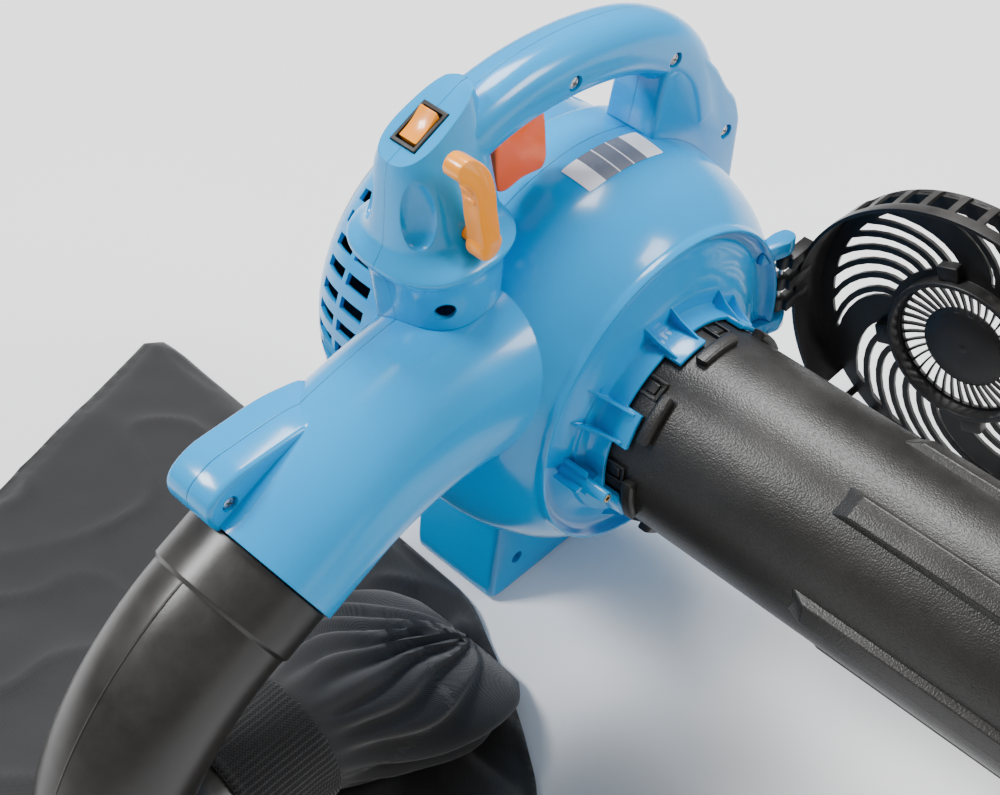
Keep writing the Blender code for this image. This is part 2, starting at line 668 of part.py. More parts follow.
def build_lower_tube():
    wall = 0.0025
    stations = [(-0.455, TUBE_Z, 0.0), (NOZZLE_BEND_Y, TUBE_Z, 0.0)]
    steps = 5
    for i in range(1, steps + 1):
        a = NOZZLE_BEND * i / steps
        stations.append((NOZZLE_BEND_Y - NOZZLE_BEND_R * math.sin(a),
                         TUBE_Z - NOZZLE_BEND_R * (1 - math.cos(a)), a))
    y, z, a = stations[-1]
    length = (z - LOWER_R * math.cos(a)) / math.sin(a)
    stations.append((y - length * math.cos(a), z - length * math.sin(a), a))
    outer = [tube_ring(LOWER_R, y, z, -a) for y, z, a in stations]
    inner = [tube_ring(LOWER_R - wall, y, z, -a) for y, z, a in stations]
    return finish(pipe(outer, inner), "lower_tube", "black")


# ---------------------------------------------------------------- outlet side

def elbow_stations():
    """Centre, direction angle below level and outside radius along the elbow."""
    tip = Vector((NECK_END[0], NECK_END[1]))
    down = Vector((-math.cos(NECK_TILT), -math.sin(NECK_TILT)))
    step = 0.0353
    stations = [(tip - down * 0.022, NECK_TILT, ELBOW_R - 0.0015),
                (tip + down * 0.0006, NECK_TILT, ELBOW_R - 0.0015),
                (tip + down * 0.0012, NECK_TILT, ELBOW_R + 0.001),
                (tip + down * step, NECK_TILT, ELBOW_R + 0.001),
                (tip + down * (step + 0.001), NECK_TILT, ELBOW_R - 0.001)]
    point, angle = tip + down * (step + 0.001), NECK_TILT
    turns = ((math.radians(35), 0.200, 4), (math.radians(120), 0.058, 9))
    total = sum(t for t, _, _ in turns)
    for turn, radius, steps in turns:
        for _ in range(steps):
            after = angle + turn / steps
            point = point + radius * Vector((math.sin(angle) - math.sin(after),
                                             math.cos(after) - math.cos(angle)))
            angle = after
            share = (angle - NECK_TILT) / total
            stations.append((point, angle, ELBOW_R - 0.001 + (ELBOW_TIP_R - ELBOW_R + 0.001) * share))
    stations.append((point + Vector((0.060, 0)), angle, ELBOW_TIP_R))
    return stations


def elbow_ring(station, radius):
    (x, z), angle, _ = station
    up = (-math.sin(angle), 0, math.cos(angle))
    return oval((x, NECK_Y, z), (0, 1, 0), up, radius, radius, 24)


def build_elbow():
    stations = elbow_stations()
    outer = [elbow_ring(s, s[2]) for s in stations]
    inner_radii = [min(s[2], ELBOW_R - 0.0015) - ELBOW_WALL for s in stations]
    inner = [elbow_ring(s, r) for s, r in zip(stations, inner_radii)]
    return finish(pipe(outer, inner), "elbow_duct", "black")


BAG_OUTLINE = [(-0.082, 0.010), (-0.079, 0.150), (-0.070, 0.385), (-0.085, 0.396), (-0.270, 0.342),
               (-0.480, 0.285), (-0.520, 0.250), (-0.545, -0.060), (-0.530, -0.150),
               (-0.480, -0.180), (-0.215, -0.180), (-0.165, -0.140), (-0.120, -0.070)]
BAG_THICK = 0.0145
CUFF = 0.068                 # length of the knitted cuff


def cuff_end():
    (x, z), _, _ = elbow_stations()[-1]
    return x, z


def build_bag():
    x_end, z_end = cuff_end()
    bag = loft([[(x, y, z) for x, y in BAG_OUTLINE] for z in (0.0, BAG_THICK)])
    x_mouth = x_end + 0.018
    throat = [(0.0, 0.047, 0.047, z_end), (0.045, 0.064, 0.046, 0.052), (0.090, 0.085, 0.036, 0.041),
              (0.130, 0.095, 0.023, 0.028), (0.158, 0.080, 0.012, 0.016)]
    rings = [oval((x_mouth + dx, NECK_Y, zc), (0, 1, 0), (0, 0, 1), b, c, 20)
             for dx, b, c, zc in throat]
    join(bag, loft(rings))
    cut(bag, rod(0.040, (x_mouth - 0.01, NECK_Y, z_end), (x_mouth + 0.055, NECK_Y, z_end), 20))
    return finish(bag, "debris_bag", "fabric")


def build_cuff():
    x_end, z_end = cuff_end()
    inner = ELBOW_TIP_R + 0.0007
    ends = ((x_end + 0.0175 - CUFF, inner, inner + 0.0030), (x_end + 0.0175, inner, inner + 0.0042))
    outer = [oval((x, NECK_Y, z_end + 0.0008), (0, 1, 0), (0, 0, 1), r, r, 24) for x, _, r in ends]
    hollow = [oval((x, NECK_Y, z_end), (0, 1, 0), (0, 0, 1), r, r, 24) for x, r, _ in ends]
    return finish(pipe(outer, hollow), "bag_cuff", "knit")


# ---------------------------------------------------------------- fan and motor

def ring(name, colour, r0, r1, y0, y1, segments=24):
    profile = [(r0, y0), (r0, y1), (r1, y1), (r1, y0)]
    return finish(turned(profile, segments=segments, closed=True), name, colour)


SHAFT_R = 0.0040
BORE_R = SHAFT_R + GAP
IMPELLER_BACK = -0.006
IMPELLER_FRONT = -0.060
IMPELLER_R = 0.106


def build_impeller():
    hub = [(BORE_R, IMPELLER_BACK), (0.106, IMPELLER_BACK), (IMPELLER_R, IMPELLER_BACK - 0.003),
           (0.024, IMPELLER_BACK - 0.003), (0.017, IMPELLER_BACK - 0.024),
           (BORE_R, IMPELLER_BACK - 0.024)]
    wheel = turned(hub, segments=36, closed=True)
    blades = 8
    for i in range(blades):
        blade = box((0.034, IMPELLER_FRONT, -0.0013), (0.103, IMPELLER_BACK - 0.001, 0.0013))
        lean = Matrix.Rotation(math.radians(14), 4, "Y")
        turn = Matrix.Rotation(2 * math.pi * i / blades, 4, "Y")
        blade.data.transform(Matrix.Translation((0, 0, FAN_Z)) @ turn @ lean)
        join(wheel, blade)
    return finish(wheel, "impeller", "black", (0, IMPELLER_BACK, FAN_Z))


def build_motor():
    finish(rod(SHAFT_R, (0, -0.044, FAN_Z), (0, 0.130, FAN_Z), 20), "rotor_shaft", "steel")
    nut = rod(0.0085, (0, -0.0385, FAN_Z), (0, -0.0305, FAN_Z), 6)
    cut(nut, rod(BORE_R, (0, -0.05, FAN_Z), (0, 0.0, FAN_Z), 20))
    finish(nut, "impeller_nut", "steel")
    ring("armature_core", "core", BORE_R, 0.0265, 0.046, 0.088)
    ring("commutator", "copper", BORE_R, 0.0120, 0.0955, 0.1080)
    ring("front_bearing", "steel", BORE_R, 0.0110, 0.0265, 0.0335)
    ring("rear_bearing", "steel", BORE_R, 0.0110, 0.1165, 0.1225)
    front = [(0.0113, 0.0262), (0.0113, 0.0385), (0.0475, 0.0385), (0.0475, BACK_Y + GAP),
             (0.0145, BACK_Y + GAP), (0.0145, 0.0262)]
    finish(turned(front, segments=24, closed=True), "front_bracket", "aluminium")
    rear = [(0.0113, 0.1140), (0.0113, 0.1225), (0.0145, 0.1225), (0.0145, 0.1170),
            (0.0475, 0.1170), (0.0475, 0.1140)]
    finish(turned(rear, segments=24, closed=True), "rear_bracket", "aluminium")
    ring("motor_frame", "steel", 0.0446, 0.0475, 0.0388, 0.1137)
    ring("stator_core", "core", 0.0275, 0.0443, 0.046, 0.088)
    for end, y0, y1 in (("front", 0.0392, 0.0457), ("rear", 0.0883, 0.0950)):
        ring(f"field_winding_{end}", "copper", 0.0300, 0.0420, y0, y1)
    for side, sign in (("upper", 1), ("lower", -1)):
        low, high = sorted((0.0200 * sign, 0.0360 * sign))
        holder = box((-0.0055, 0.0965, FAN_Z + low), (0.0055, 0.1070, FAN_Z + high))
        cut(holder, box((-0.0036, 0.0978, 0.0), (0.0036, 0.1057, 0.6)))
        finish(holder, f"brush_holder_{side}", "brass")
        low, high = sorted((0.0124 * sign, 0.0300 * sign))
        brush = box((-0.0033, 0.0981, FAN_Z + low), (0.0033, 0.1054, FAN_Z + high))
        finish(brush, f"carbon_brush_{side}", "carbon")
    fan = turned([(BORE_R, 0.1240), (BORE_R, 0.1290), (0.012, 0.1290), (0.013, 0.1265),
                  (0.038, 0.1265), (0.038, 0.1240)], segments=24, closed=True)
    for i in range(9):
        blade = box((0.0105, 0.1255, -0.0006), (0.0365, 0.1315, 0.0006))
        blade.data.transform(Matrix.Translation((0, 0, FAN_Z)) @
                             Matrix.Rotation(2 * math.pi * i / 9, 4, "Y"))
        join(fan, blade)
    finish(fan, "cooling_fan", "black")


def build_interlock():
    """The switch that only lets the motor run with a tube or the grille closed on the boss."""
    x, z = -0.094, FAN_Z + 0.030
    finish(box((x - 0.006, RIM_Y + 0.0145, z - 0.009), (x + 0.006, RIM_Y + 0.0245, z + 0.009)),
           "interlock_switch", "black")


def main():
    clear_scene()
    build_intake_shell()
    build_motor_side_shell()
    build_motor_housing()
    build_motor_end_cover()
    build_handle_halves()
    build_handle_controls()
    build_fasteners()
    build_intake_grille()
    build_upper_tube()
    build_lower_tube()
    build_elbow()
    build_bag()
    build_cuff()
    build_impeller()
    build_motor()
    build_interlock()


main()
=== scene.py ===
"""Looks of an electric garden blower in its vacuum set-up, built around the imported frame.

Each sub-assembly is a class that builds its meshes and dresses them. Lengths are metres. The fan
axis runs along Y at height FAN_Z, the intake faces -Y and the outlet neck points towards -X.
"""
from __future__ import annotations

import logging
import math
from dataclasses import dataclass, field
from enum import Enum
from typing import Callable, Iterable, Sequence

import bmesh
import bpy
from mathutils import Matrix, Vector, noise

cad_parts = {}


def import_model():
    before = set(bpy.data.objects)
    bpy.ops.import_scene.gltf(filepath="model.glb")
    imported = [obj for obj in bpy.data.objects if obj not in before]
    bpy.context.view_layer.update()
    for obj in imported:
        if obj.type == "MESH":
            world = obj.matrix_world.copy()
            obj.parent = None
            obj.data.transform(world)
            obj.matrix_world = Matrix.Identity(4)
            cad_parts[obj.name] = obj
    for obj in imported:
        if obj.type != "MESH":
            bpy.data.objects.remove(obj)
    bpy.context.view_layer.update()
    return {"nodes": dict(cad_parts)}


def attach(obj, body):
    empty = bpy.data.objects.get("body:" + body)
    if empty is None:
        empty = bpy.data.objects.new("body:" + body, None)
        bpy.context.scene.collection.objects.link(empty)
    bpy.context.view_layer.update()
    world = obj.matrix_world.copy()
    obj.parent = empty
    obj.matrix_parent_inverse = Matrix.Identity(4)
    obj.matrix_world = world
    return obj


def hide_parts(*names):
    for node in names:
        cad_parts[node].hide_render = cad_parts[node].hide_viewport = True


log = logging.getLogger("blower")

FAN_Z = 0.235
FAN = Vector((0.0, 0.0, FAN_Z))
VOLUTE_R = 0.143
RIM_Y = -0.090
BACK_Y = 0.034
MOTOR_Y = 0.118
TUBE_R = 0.0686
TUBE_X = -0.0079
TUBE_Z = FAN_Z - 0.0061
NECK_R = 0.053
NECK_Y = -0.020
NECK_END = Vector((-0.279, NECK_Y, 0.246))
NECK_TILT = math.radians(25)
GAP = 0.0003
WALL = 0.003
FINE = 128
MEDIUM = 64

Point = tuple[float, float]


class Axis(Enum):
    """The principal directions that shapes are turned and stood along."""

    X = Vector((1, 0, 0))
    Y = Vector((0, 1, 0))
    Z = Vector((0, 0, 1))


# ------------------------------------------------------------------ curves and rings


def smooth_line(points: Sequence[Sequence[float]], steps: int = 5) -> list[tuple[float, ...]]:
    """Run a smooth curve through given points.

    Args:
        points: The places that the curve goes through, in two or three coordinates.
        steps: How many stretches each gap between two points gets.

    Returns:
        The points of the curve, both ends included.
    """
    ends = [points[0], *points, points[-1]]
    line: list[tuple[float, ...]] = []
    for p0, p1, p2, p3 in zip(ends, ends[1:], ends[2:], ends[3:]):
        for i in range(steps):
            t = i / steps
            line.append(tuple(
                0.5 * (2 * b + (c - a) * t + (2 * a - 5 * b + 4 * c - d) * t * t
                       + (3 * b - a - 3 * c + d) * t ** 3)
                for a, b, c, d in zip(p0, p1, p2, p3)))
    line.append(tuple(points[-1]))
    return line


def rounded_outline(points: Sequence[Point], radius: float, steps: int = 4) -> list[Point]:
    """Round off every corner of a straight-sided outline.

    Args:
        points: The corners.
        radius: How far back from each corner the round starts.
        steps: How many stretches each round gets.

    Returns:
        The outline with its rounds.
    """
    outline: list[Point] = []
    count = len(points)
    for i, corner in enumerate(points):
        here = Vector(corner)
        before, after = Vector(points[i - 1]), Vector(points[(i + 1) % count])
        reach_in = min(radius, (before - here).length * 0.45)
        reach_out = min(radius, (after - here).length * 0.45)
        start = here + (before - here).normalized() * reach_in
        end = here + (after - here).normalized() * reach_out
        for k in range(steps + 1):
            t = k / steps
            spot = start * (1 - t) ** 2 + here * 2 * t * (1 - t) + end * t * t
            outline.append((spot.x, spot.y))
    return outline


@dataclass(frozen=True)
class Ring:
    """One cross-section of a lofted shape.

    Attributes:
        centre: The middle of the ring.
        across: The unit direction of half-width ``a``.
        up: The unit direction of half-height ``b``.
        a: Half the width.
        b: Half the height.
        power: 2 for an ellipse, and more for squarer corners.
    """

    centre: Vector
    across: Vector
    up: Vector
    a: float
    b: float
    power: float = 2.0

    def grown(self, amount: float) -> Ring:
        """Return the same ring, wider by an amount all round."""
        return Ring(self.centre, self.across, self.up, self.a + amount, self.b + amount, self.power)

    def draw(self, bm: bmesh.types.BMesh, segments: int) -> list[bmesh.types.BMEdge]:
        """Add the ring to a mesh.

        Args:
            bm: The mesh.
            segments: How many sides the ring gets.

        Returns:
            The ring's edges.
        """
        made = bmesh.ops.create_circle(bm, cap_ends=False, segments=segments, radius=1.0)
        for vert in made["verts"]:
            u = math.copysign(abs(vert.co.x) ** (2 / self.power), vert.co.x) * self.a
            v = math.copysign(abs(vert.co.y) ** (2 / self.power), vert.co.y) * self.b
            vert.co = self.centre + self.across * u + self.up * v
        return list({edge for vert in made["verts"] for edge in vert.link_edges})


# ------------------------------------------------------------------ bench tools


def shape_object(bm: bmesh.types.BMesh, face_out: bool = True) -> bpy.types.Object:
    """Turn a mesh under work into an object.

    Args:
        bm: The mesh, which is freed.
        face_out: Whether its faces are turned to point outwards first.

    Returns:
        The new object, linked to the scene.
    """
    bmesh.ops.remove_doubles(bm, verts=bm.verts, dist=1e-6)
    if face_out:
        bmesh.ops.recalc_face_normals(bm, faces=bm.faces)
    mesh = bpy.data.meshes.new("work")
    bm.to_mesh(mesh)
    bm.free()
    obj = bpy.data.objects.new("work", mesh)
    bpy.context.scene.collection.objects.link(obj)
    return obj


def turned(profile: Sequence[Point], centre: Point = (0.0, FAN_Z), segments: int = FINE,
           closed: bool = False) -> bpy.types.Object:
    """Spin a profile about a line along Y.

    Args:
        profile: Points as radius and Y.
        centre: X and Z of the line.
        segments: How many steps the full turn takes.
        closed: Whether the last point joins the first, as on a ring with a bore.

    Returns:
        The turned solid.
    """
    bm = bmesh.new()
    verts = [bm.verts.new((centre[0] + max(radius, 0.0), y, centre[1])) for radius, y in profile]
    pairs = list(zip(verts, verts[1:]))
    if closed:
        pairs.append((verts[-1], verts[0]))
    edges = [bm.edges.new(pair) for pair in pairs]
    bmesh.ops.spin(bm, geom=verts + edges, cent=(centre[0], 0.0, centre[1]), axis=Axis.Y.value,
                   angle=math.tau, steps=segments, use_merge=True)
    bmesh.ops.dissolve_degenerate(bm, dist=1e-7, edges=bm.edges)
    return shape_object(bm)


def lofted(rings: Sequence[Ring], segments: int = MEDIUM) -> bpy.types.Object:
    """Skin a row of rings and close both ends.

    Args:
        rings: The cross-sections in order.
        segments: How many sides each ring gets.

    Returns:
        The lofted solid.
    """
    bm = bmesh.new()
    loops = [ring.draw(bm, segments) for ring in rings]
    for low, high in zip(loops, loops[1:]):
        bmesh.ops.bridge_loops(bm, edges=low + high)
    bmesh.ops.holes_fill(bm, edges=loops[0] + loops[-1], sides=segments)
    return shape_object(bm)


def piped(outer: Sequence[Ring], inner: Sequence[Ring], segments: int = MEDIUM) -> bpy.types.Object:
    """Skin an open-ended tube between an outer and an inner row of rings.

    Args:
        outer: The outside's rings from one end to the other.
        inner: The bore's rings in the same order.
        segments: How many sides each ring gets.

    Returns:
        The tube.
    """
    bm = bmesh.new()
    loops = [ring.draw(bm, segments) for ring in [*outer, *reversed(inner)]]
    for low, high in zip(loops, loops[1:] + loops[:1]):
        bmesh.ops.bridge_loops(bm, edges=low + high)
    return shape_object(bm)


def slab(outline: Sequence[Point], y0: float, y1: float, soft: float = 0.0,
         soft_steps: int = 2) -> bpy.types.Object:
    """Extrude an (x, z) outline along Y and round its long edges.

    Args:
        outline: The corners of the side view.
        y0: Where it starts.
        y1: Where it ends.
        soft: The width of the round on the edges of both faces, or 0 for none.
        soft_steps: How many stretches that round gets.

    Returns:
        The solid.
    """
    bm = bmesh.new()
    face = bm.faces.new([bm.verts.new((x, y0, z)) for x, z in outline])
    grown = bmesh.ops.extrude_face_region(bm, geom=[face])
    top = [item for item in grown["geom"] if isinstance(item, bmesh.types.BMVert)]
    bmesh.ops.translate(bm, vec=(0, y1 - y0, 0), verts=top)
    bmesh.ops.recalc_face_normals(bm, faces=bm.faces)
    if soft:
        rims = [edge for edge in bm.edges if abs(edge.verts[0].co.y - edge.verts[1].co.y) < 1e-7]
        bmesh.ops.bevel(bm, geom=rims, offset=soft, segments=soft_steps, profile=0.5,
                        affect="EDGES", clamp_overlap=True, material=-1)
    return shape_object(bm)


def block(low: Sequence[float], high: Sequence[float], soft: float = 0.0) -> bpy.types.Object:
    """Make a box between two corners, with rounded edges if wanted.

    Args:
        low: The lowest corner.
        high: The highest corner.
        soft: The width of the round on every edge, or 0 for none.

    Returns:
        The solid.
    """
    bm = bmesh.new()
    bmesh.ops.create_cube(bm, size=1.0)
    low, high = Vector(low), Vector(high)
    bmesh.ops.scale(bm, vec=high - low, verts=bm.verts)
    bmesh.ops.translate(bm, vec=(low + high) / 2, verts=bm.verts)
    if soft:
        bmesh.ops.bevel(bm, geom=bm.edges[:], offset=soft, segments=3, profile=0.5,
                        affect="EDGES", clamp_overlap=True, material=-1)
    return shape_object(bm)


def bar(radius: float, start: Sequence[float], end: Sequence[float], segments: int = 24,
        end_radius: float | None = None, soft: float = 0.0) -> bpy.types.Object:
    """Make a round bar between two points.

    Args:
        radius: Its radius at the start.
        start: The middle of its first face.
        end: The middle of its last face.
        segments: How many sides it gets.
        end_radius: Its radius at the end, if that differs.
        soft: The width of the round at both ends.

    Returns:
        The solid.
    """
    start, end = Vector(start), Vector(end)
    bm = bmesh.new()
    bmesh.ops.create_cone(bm, cap_ends=True, segments=segments, radius1=radius,
                          radius2=radius if end_radius is None else end_radius,
                          depth=(end - start).length)
    if soft:
        rims = [edge for edge in bm.edges if abs(edge.verts[0].co.z - edge.verts[1].co.z) < 1e-7]
        bmesh.ops.bevel(bm, geom=rims, offset=soft, segments=2, profile=0.5, affect="EDGES",
                        clamp_overlap=True, material=-1)
    turn = Axis.Z.value.rotation_difference((end - start).normalized()).to_matrix().to_4x4()
    bm.transform(Matrix.Translation((start + end) / 2) @ turn)
    return shape_object(bm)


def boolean(target: bpy.types.Object, tool: bpy.types.Object, operation: str) -> bpy.types.Object:
    """Cut, join or intersect two work objects.

    Args:
        target: The object that is kept.
        tool: The object that is used up.
        operation: DIFFERENCE, UNION or INTERSECT.

    Returns:
        The target.
    """
    step = target.modifiers.new("boolean", "BOOLEAN")
    step.operation = operation
    step.solver = "EXACT"
    step.object = tool
    evaluated = target.evaluated_get(bpy.context.evaluated_depsgraph_get())
    mesh = bpy.data.meshes.new_from_object(evaluated)
    target.modifiers.clear()
    target.data = mesh
    bpy.data.objects.remove(tool, do_unlink=True)
    return target


def cut(target: bpy.types.Object, *tools: bpy.types.Object) -> bpy.types.Object:
    """Take the tools out of the target and return it."""
    for tool in tools:
        boolean(target, tool, "DIFFERENCE")
    return target


def fuse(target: bpy.types.Object, *tools: bpy.types.Object) -> bpy.types.Object:
    """Unite the tools with the target and return it."""
    for tool in tools:
        boolean(target, tool, "UNION")
    return target


def gather(target: bpy.types.Object, *others: bpy.types.Object) -> bpy.types.Object:
    """Put closed solids that overlap or touch into one mesh.

    Args:
        target: The object that is kept.
        others: The objects that are used up.

    Returns:
        The target.
    """
    bm = bmesh.new()
    bm.from_mesh(target.data)
    for other in others:
        bm.from_mesh(other.data)
        bpy.data.objects.remove(other, do_unlink=True)
    bm.to_mesh(target.data)
    bm.free()
    return target


def placed(obj: bpy.types.Object, matrix: Matrix) -> bpy.types.Object:
    """Move a work object's mesh by a matrix and return it."""
    obj.data.transform(matrix)
    return obj


def about_y(angle: float, x: float = 0.0, z: float = FAN_Z) -> Matrix:
    """Return a place on a line along Y, turned so that +X points at the angle from +X to +Z."""
    return Matrix.Translation((x, 0, z)) @ Matrix.Rotation(-angle, 4, "Y")


def publish(obj: bpy.types.Object, name: str, body: str, finish: Finish,
            replaces: Iterable[str] = (), sharp: float = 32.0) -> bpy.types.Object:
    """Name a finished piece, give it its finish and hand it to the frame.

    Args:
        obj: The piece.
        name: Its name.
        body: The CAD body that it moves with.
        finish: What its surface is.
        replaces: The CAD nodes that it stands for.
        sharp: The angle in degrees above which an edge stays crisp.

    Returns:
        The piece.
    """
    obj.name = name
    obj.data.name = name
    obj.data.materials.clear()
    obj.data.materials.append(finish.material())
    obj.data.shade_smooth()
    obj.data.set_sharp_from_angle(angle=math.radians(sharp))
    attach(obj, body)
    if replaces:
        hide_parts(*replaces)
    log.info("%s: %d faces", name, len(obj.data.polygons))
    return obj


# ------------------------------------------------------------------ shader workshop


class Nodes:
    """A short way to lay out nodes and links in one tree."""

    def __init__(self, tree: bpy.types.NodeTree) -> None:
        """Remember the tree that is being filled."""
        self.tree = tree

    def add(self, kind: str, inputs: dict[str | int, object] | None = None,
            **settings: object) -> bpy.types.Node:
        """Add a node, set its properties, and fill or link its inputs.

        Args:
            kind: The node's type name.
            inputs: Values or output sockets by input name or number.
            settings: The node's own properties.

        Returns:
            The node.
        """
        node = self.tree.nodes.new(kind)
        for key, value in settings.items():
            setattr(node, key, value)
        for key, value in (inputs or {}).items():
            if isinstance(value, bpy.types.NodeSocket):
                self.tree.links.new(value, node.inputs[key])
            else:
                node.inputs[key].default_value = value
        return node

    def math(self, operation: str, a: object, b: object = 0.0) -> bpy.types.NodeSocket:
        """Return the result of a Math node."""
        return self.add("ShaderNodeMath", {0: a, 1: b}, operation=operation).outputs[0]

    def ramp(self, value: object, low: float, high: float, to_low: float = 0.0,
             to_high: float = 1.0) -> bpy.types.NodeSocket:
        """Return a value stretched from one range to another and held inside it."""
        return self.add("ShaderNodeMapRange", {0: value, 1: low, 2: high, 3: to_low, 4: to_high},
                        clamp=True).outputs[0]

    def blend(self, share: object, a: object, b: object) -> bpy.types.NodeSocket:
        """Return the mix of two colours."""
        return self.add("ShaderNodeMix", {0: share, 6: a, 7: b}, data_type="RGBA").outputs[2]

    def noise(self, vector: object, scale: float, detail: float = 3.0,
              roughness: float = 0.5) -> bpy.types.NodeSocket:
        """Return a noise value over a vector."""
        node = self.add("ShaderNodeTexNoise", {"Vector": vector, "Scale": scale,
                                               "Detail": detail, "Roughness": roughness})
        return node.outputs["Fac"]


def node_group(name: str, inputs: Sequence[tuple[str, str, float]],
               outputs: Sequence[tuple[str, str]],
               fill: Callable[[Nodes, dict[str, bpy.types.NodeSocket]], dict[str, object]],
               ) -> bpy.types.NodeTree:
    """Build a shader node group once, and find it again after that.

    Args:
        name: The group's name.
        inputs: Each input's name, socket type and default value.
        outputs: Each output's name and socket type.
        fill: Lays out the nodes from the input sockets and returns the output sockets by name.

    Returns:
        The group.
    """
    group = bpy.data.node_groups.get(name)
    if group:
        return group
    group = bpy.data.node_groups.new(name, "ShaderNodeTree")
    for label, kind, default in inputs:
        socket = group.interface.new_socket(label, in_out="INPUT", socket_type=kind)
        if kind == "NodeSocketFloat":
            socket.default_value = default
    for label, kind in outputs:
        group.interface.new_socket(label, in_out="OUTPUT", socket_type=kind)
    entry = group.nodes.new("NodeGroupInput")
    leave = group.nodes.new("NodeGroupOutput")
    made = fill(Nodes(group), {label: entry.outputs[label] for label, _, _ in inputs})
    for label, socket in made.items():
        group.links.new(socket, leave.inputs[label])
    return group


FLOAT = "NodeSocketFloat"
VECTOR = "NodeSocketVector"


def dust_group() -> bpy.types.NodeTree:
    """Return the group that gives where dust settles: on faces that look up, in patches."""
    def fill(nodes: Nodes, given: dict[str, bpy.types.NodeSocket]) -> dict[str, object]:
        """Place the group's nodes between its inputs and its outputs."""
        normal = nodes.add("ShaderNodeNewGeometry").outputs["Normal"]
        up = nodes.add("ShaderNodeSeparateXYZ", {0: normal}).outputs["Z"]
        patch = nodes.noise(given["Place"], 14.0, 5.0, 0.65)
        facing = nodes.ramp(up, 0.2, 1.0)
        spots = nodes.ramp(patch, 0.42, 0.75)
        return {"Mask": nodes.math("MULTIPLY", nodes.math("MULTIPLY", facing, spots),
                                   given["Amount"])}

    return node_group("settled_dust", [("Place", VECTOR, 0), ("Amount", FLOAT, 0.3)],
                      [("Mask", FLOAT)], fill)


def moulded_group() -> bpy.types.NodeTree:
    """Return the group for a moulded skin: a slow ripple with a fine sparkle of pores."""
    def fill(nodes: Nodes, given: dict[str, bpy.types.NodeSocket]) -> dict[str, object]:
        """Place the group's nodes between its inputs and its outputs."""
        ripple = nodes.noise(given["Place"], 55.0, 2.0)
        pores = nodes.noise(given["Place"], 1400.0, 2.0)
        cloud = nodes.noise(given["Place"], 9.0, 3.0)
        height = nodes.math("ADD", nodes.math("MULTIPLY", ripple, given["Ripple"]),
                            nodes.math("MULTIPLY", pores, given["Pores"]))
        return {"Height": height, "Cloud": cloud}

    return node_group("moulded_skin", [("Place", VECTOR, 0), ("Ripple", FLOAT, 1.0),
                                       ("Pores", FLOAT, 0.2)],
                      [("Height", FLOAT), ("Cloud", FLOAT)], fill)


def leather_group() -> bpy.types.NodeTree:
    """Return the group for a leather grain: pebbles of uneven size with creases between."""
    def fill(nodes: Nodes, given: dict[str, bpy.types.NodeSocket]) -> dict[str, object]:
        """Place the group's nodes between its inputs and its outputs."""
        shift = nodes.add("ShaderNodeTexNoise", {"Vector": given["Place"], "Scale": 260.0,
                                                 "Detail": 2.0}).outputs["Color"]
        bent = nodes.add("ShaderNodeVectorMath", {0: shift}, operation="SCALE")
        bent.inputs["Scale"].default_value = 0.0022
        place = nodes.add("ShaderNodeVectorMath", {0: given["Place"], 1: bent.outputs[0]},
                          operation="ADD").outputs[0]
        cells = nodes.add("ShaderNodeTexVoronoi", {"Vector": place, "Scale": given["Scale"]},
                          feature="SMOOTH_F1").outputs["Distance"]
        pebble = nodes.ramp(cells, 0.15, 0.75, 1.0, 0.0)
        fine = nodes.noise(place, 2100.0, 2.0)
        height = nodes.math("ADD", pebble, nodes.math("MULTIPLY", fine, 0.25))
        return {"Height": height, "Crease": nodes.ramp(pebble, 0.25, 0.6, 1.0, 0.0)}

    return node_group("leather_grain", [("Place", VECTOR, 0), ("Scale", FLOAT, 420.0)],
                      [("Height", FLOAT), ("Crease", FLOAT)], fill)


def weave_group() -> bpy.types.NodeTree:
    """Return the group for a plain weave over a UV map in metres: threads over and under."""
    def fill(nodes: Nodes, given: dict[str, bpy.types.NodeSocket]) -> dict[str, object]:
        """Place the group's nodes between its inputs and its outputs."""
        split = nodes.add("ShaderNodeSeparateXYZ", {0: given["Place"]})
        waves = []
        for name in ("X", "Y"):
            turn = nodes.math("MULTIPLY", split.outputs[name], given["Threads"])
            waves.append(nodes.math("SINE", turn))
        product = nodes.math("MULTIPLY", waves[0], waves[1])
        height = nodes.math("ADD", nodes.math("MULTIPLY", product, 0.5), 0.5)
        return {"Height": height, "Thread": nodes.ramp(height, 0.25, 0.8)}

    return node_group("plain_weave", [("Place", VECTOR, 0), ("Threads", FLOAT, 6000.0)],
                      [("Height", FLOAT), ("Thread", FLOAT)], fill)


def scuff_group() -> bpy.types.NodeTree:
    """Return the group for fine handling scratches: thin stretched streaks in patches."""
    def fill(nodes: Nodes, given: dict[str, bpy.types.NodeSocket]) -> dict[str, object]:
        """Place the group's nodes between its inputs and its outputs."""
        long = nodes.add("ShaderNodeMapping", {"Vector": given["Place"],
                                               "Rotation": (0.4, 0.9, 0.3),
                                               "Scale": (1.0, 14.0, 9.0)}).outputs[0]
        streak = nodes.ramp(nodes.noise(long, 60.0, 4.0, 0.7), 0.66, 0.74)
        patch = nodes.ramp(nodes.noise(given["Place"], 18.0, 2.0), 0.5, 0.7)
        return {"Mask": nodes.math("MULTIPLY", nodes.math("MULTIPLY", streak, patch),
                                   given["Amount"])}

    return node_group("handling_scuffs", [("Place", VECTOR, 0), ("Amount", FLOAT, 0.5)],
                      [("Mask", FLOAT)], fill)


# ------------------------------------------------------------------ finishes

Colour = tuple[float, float, float]


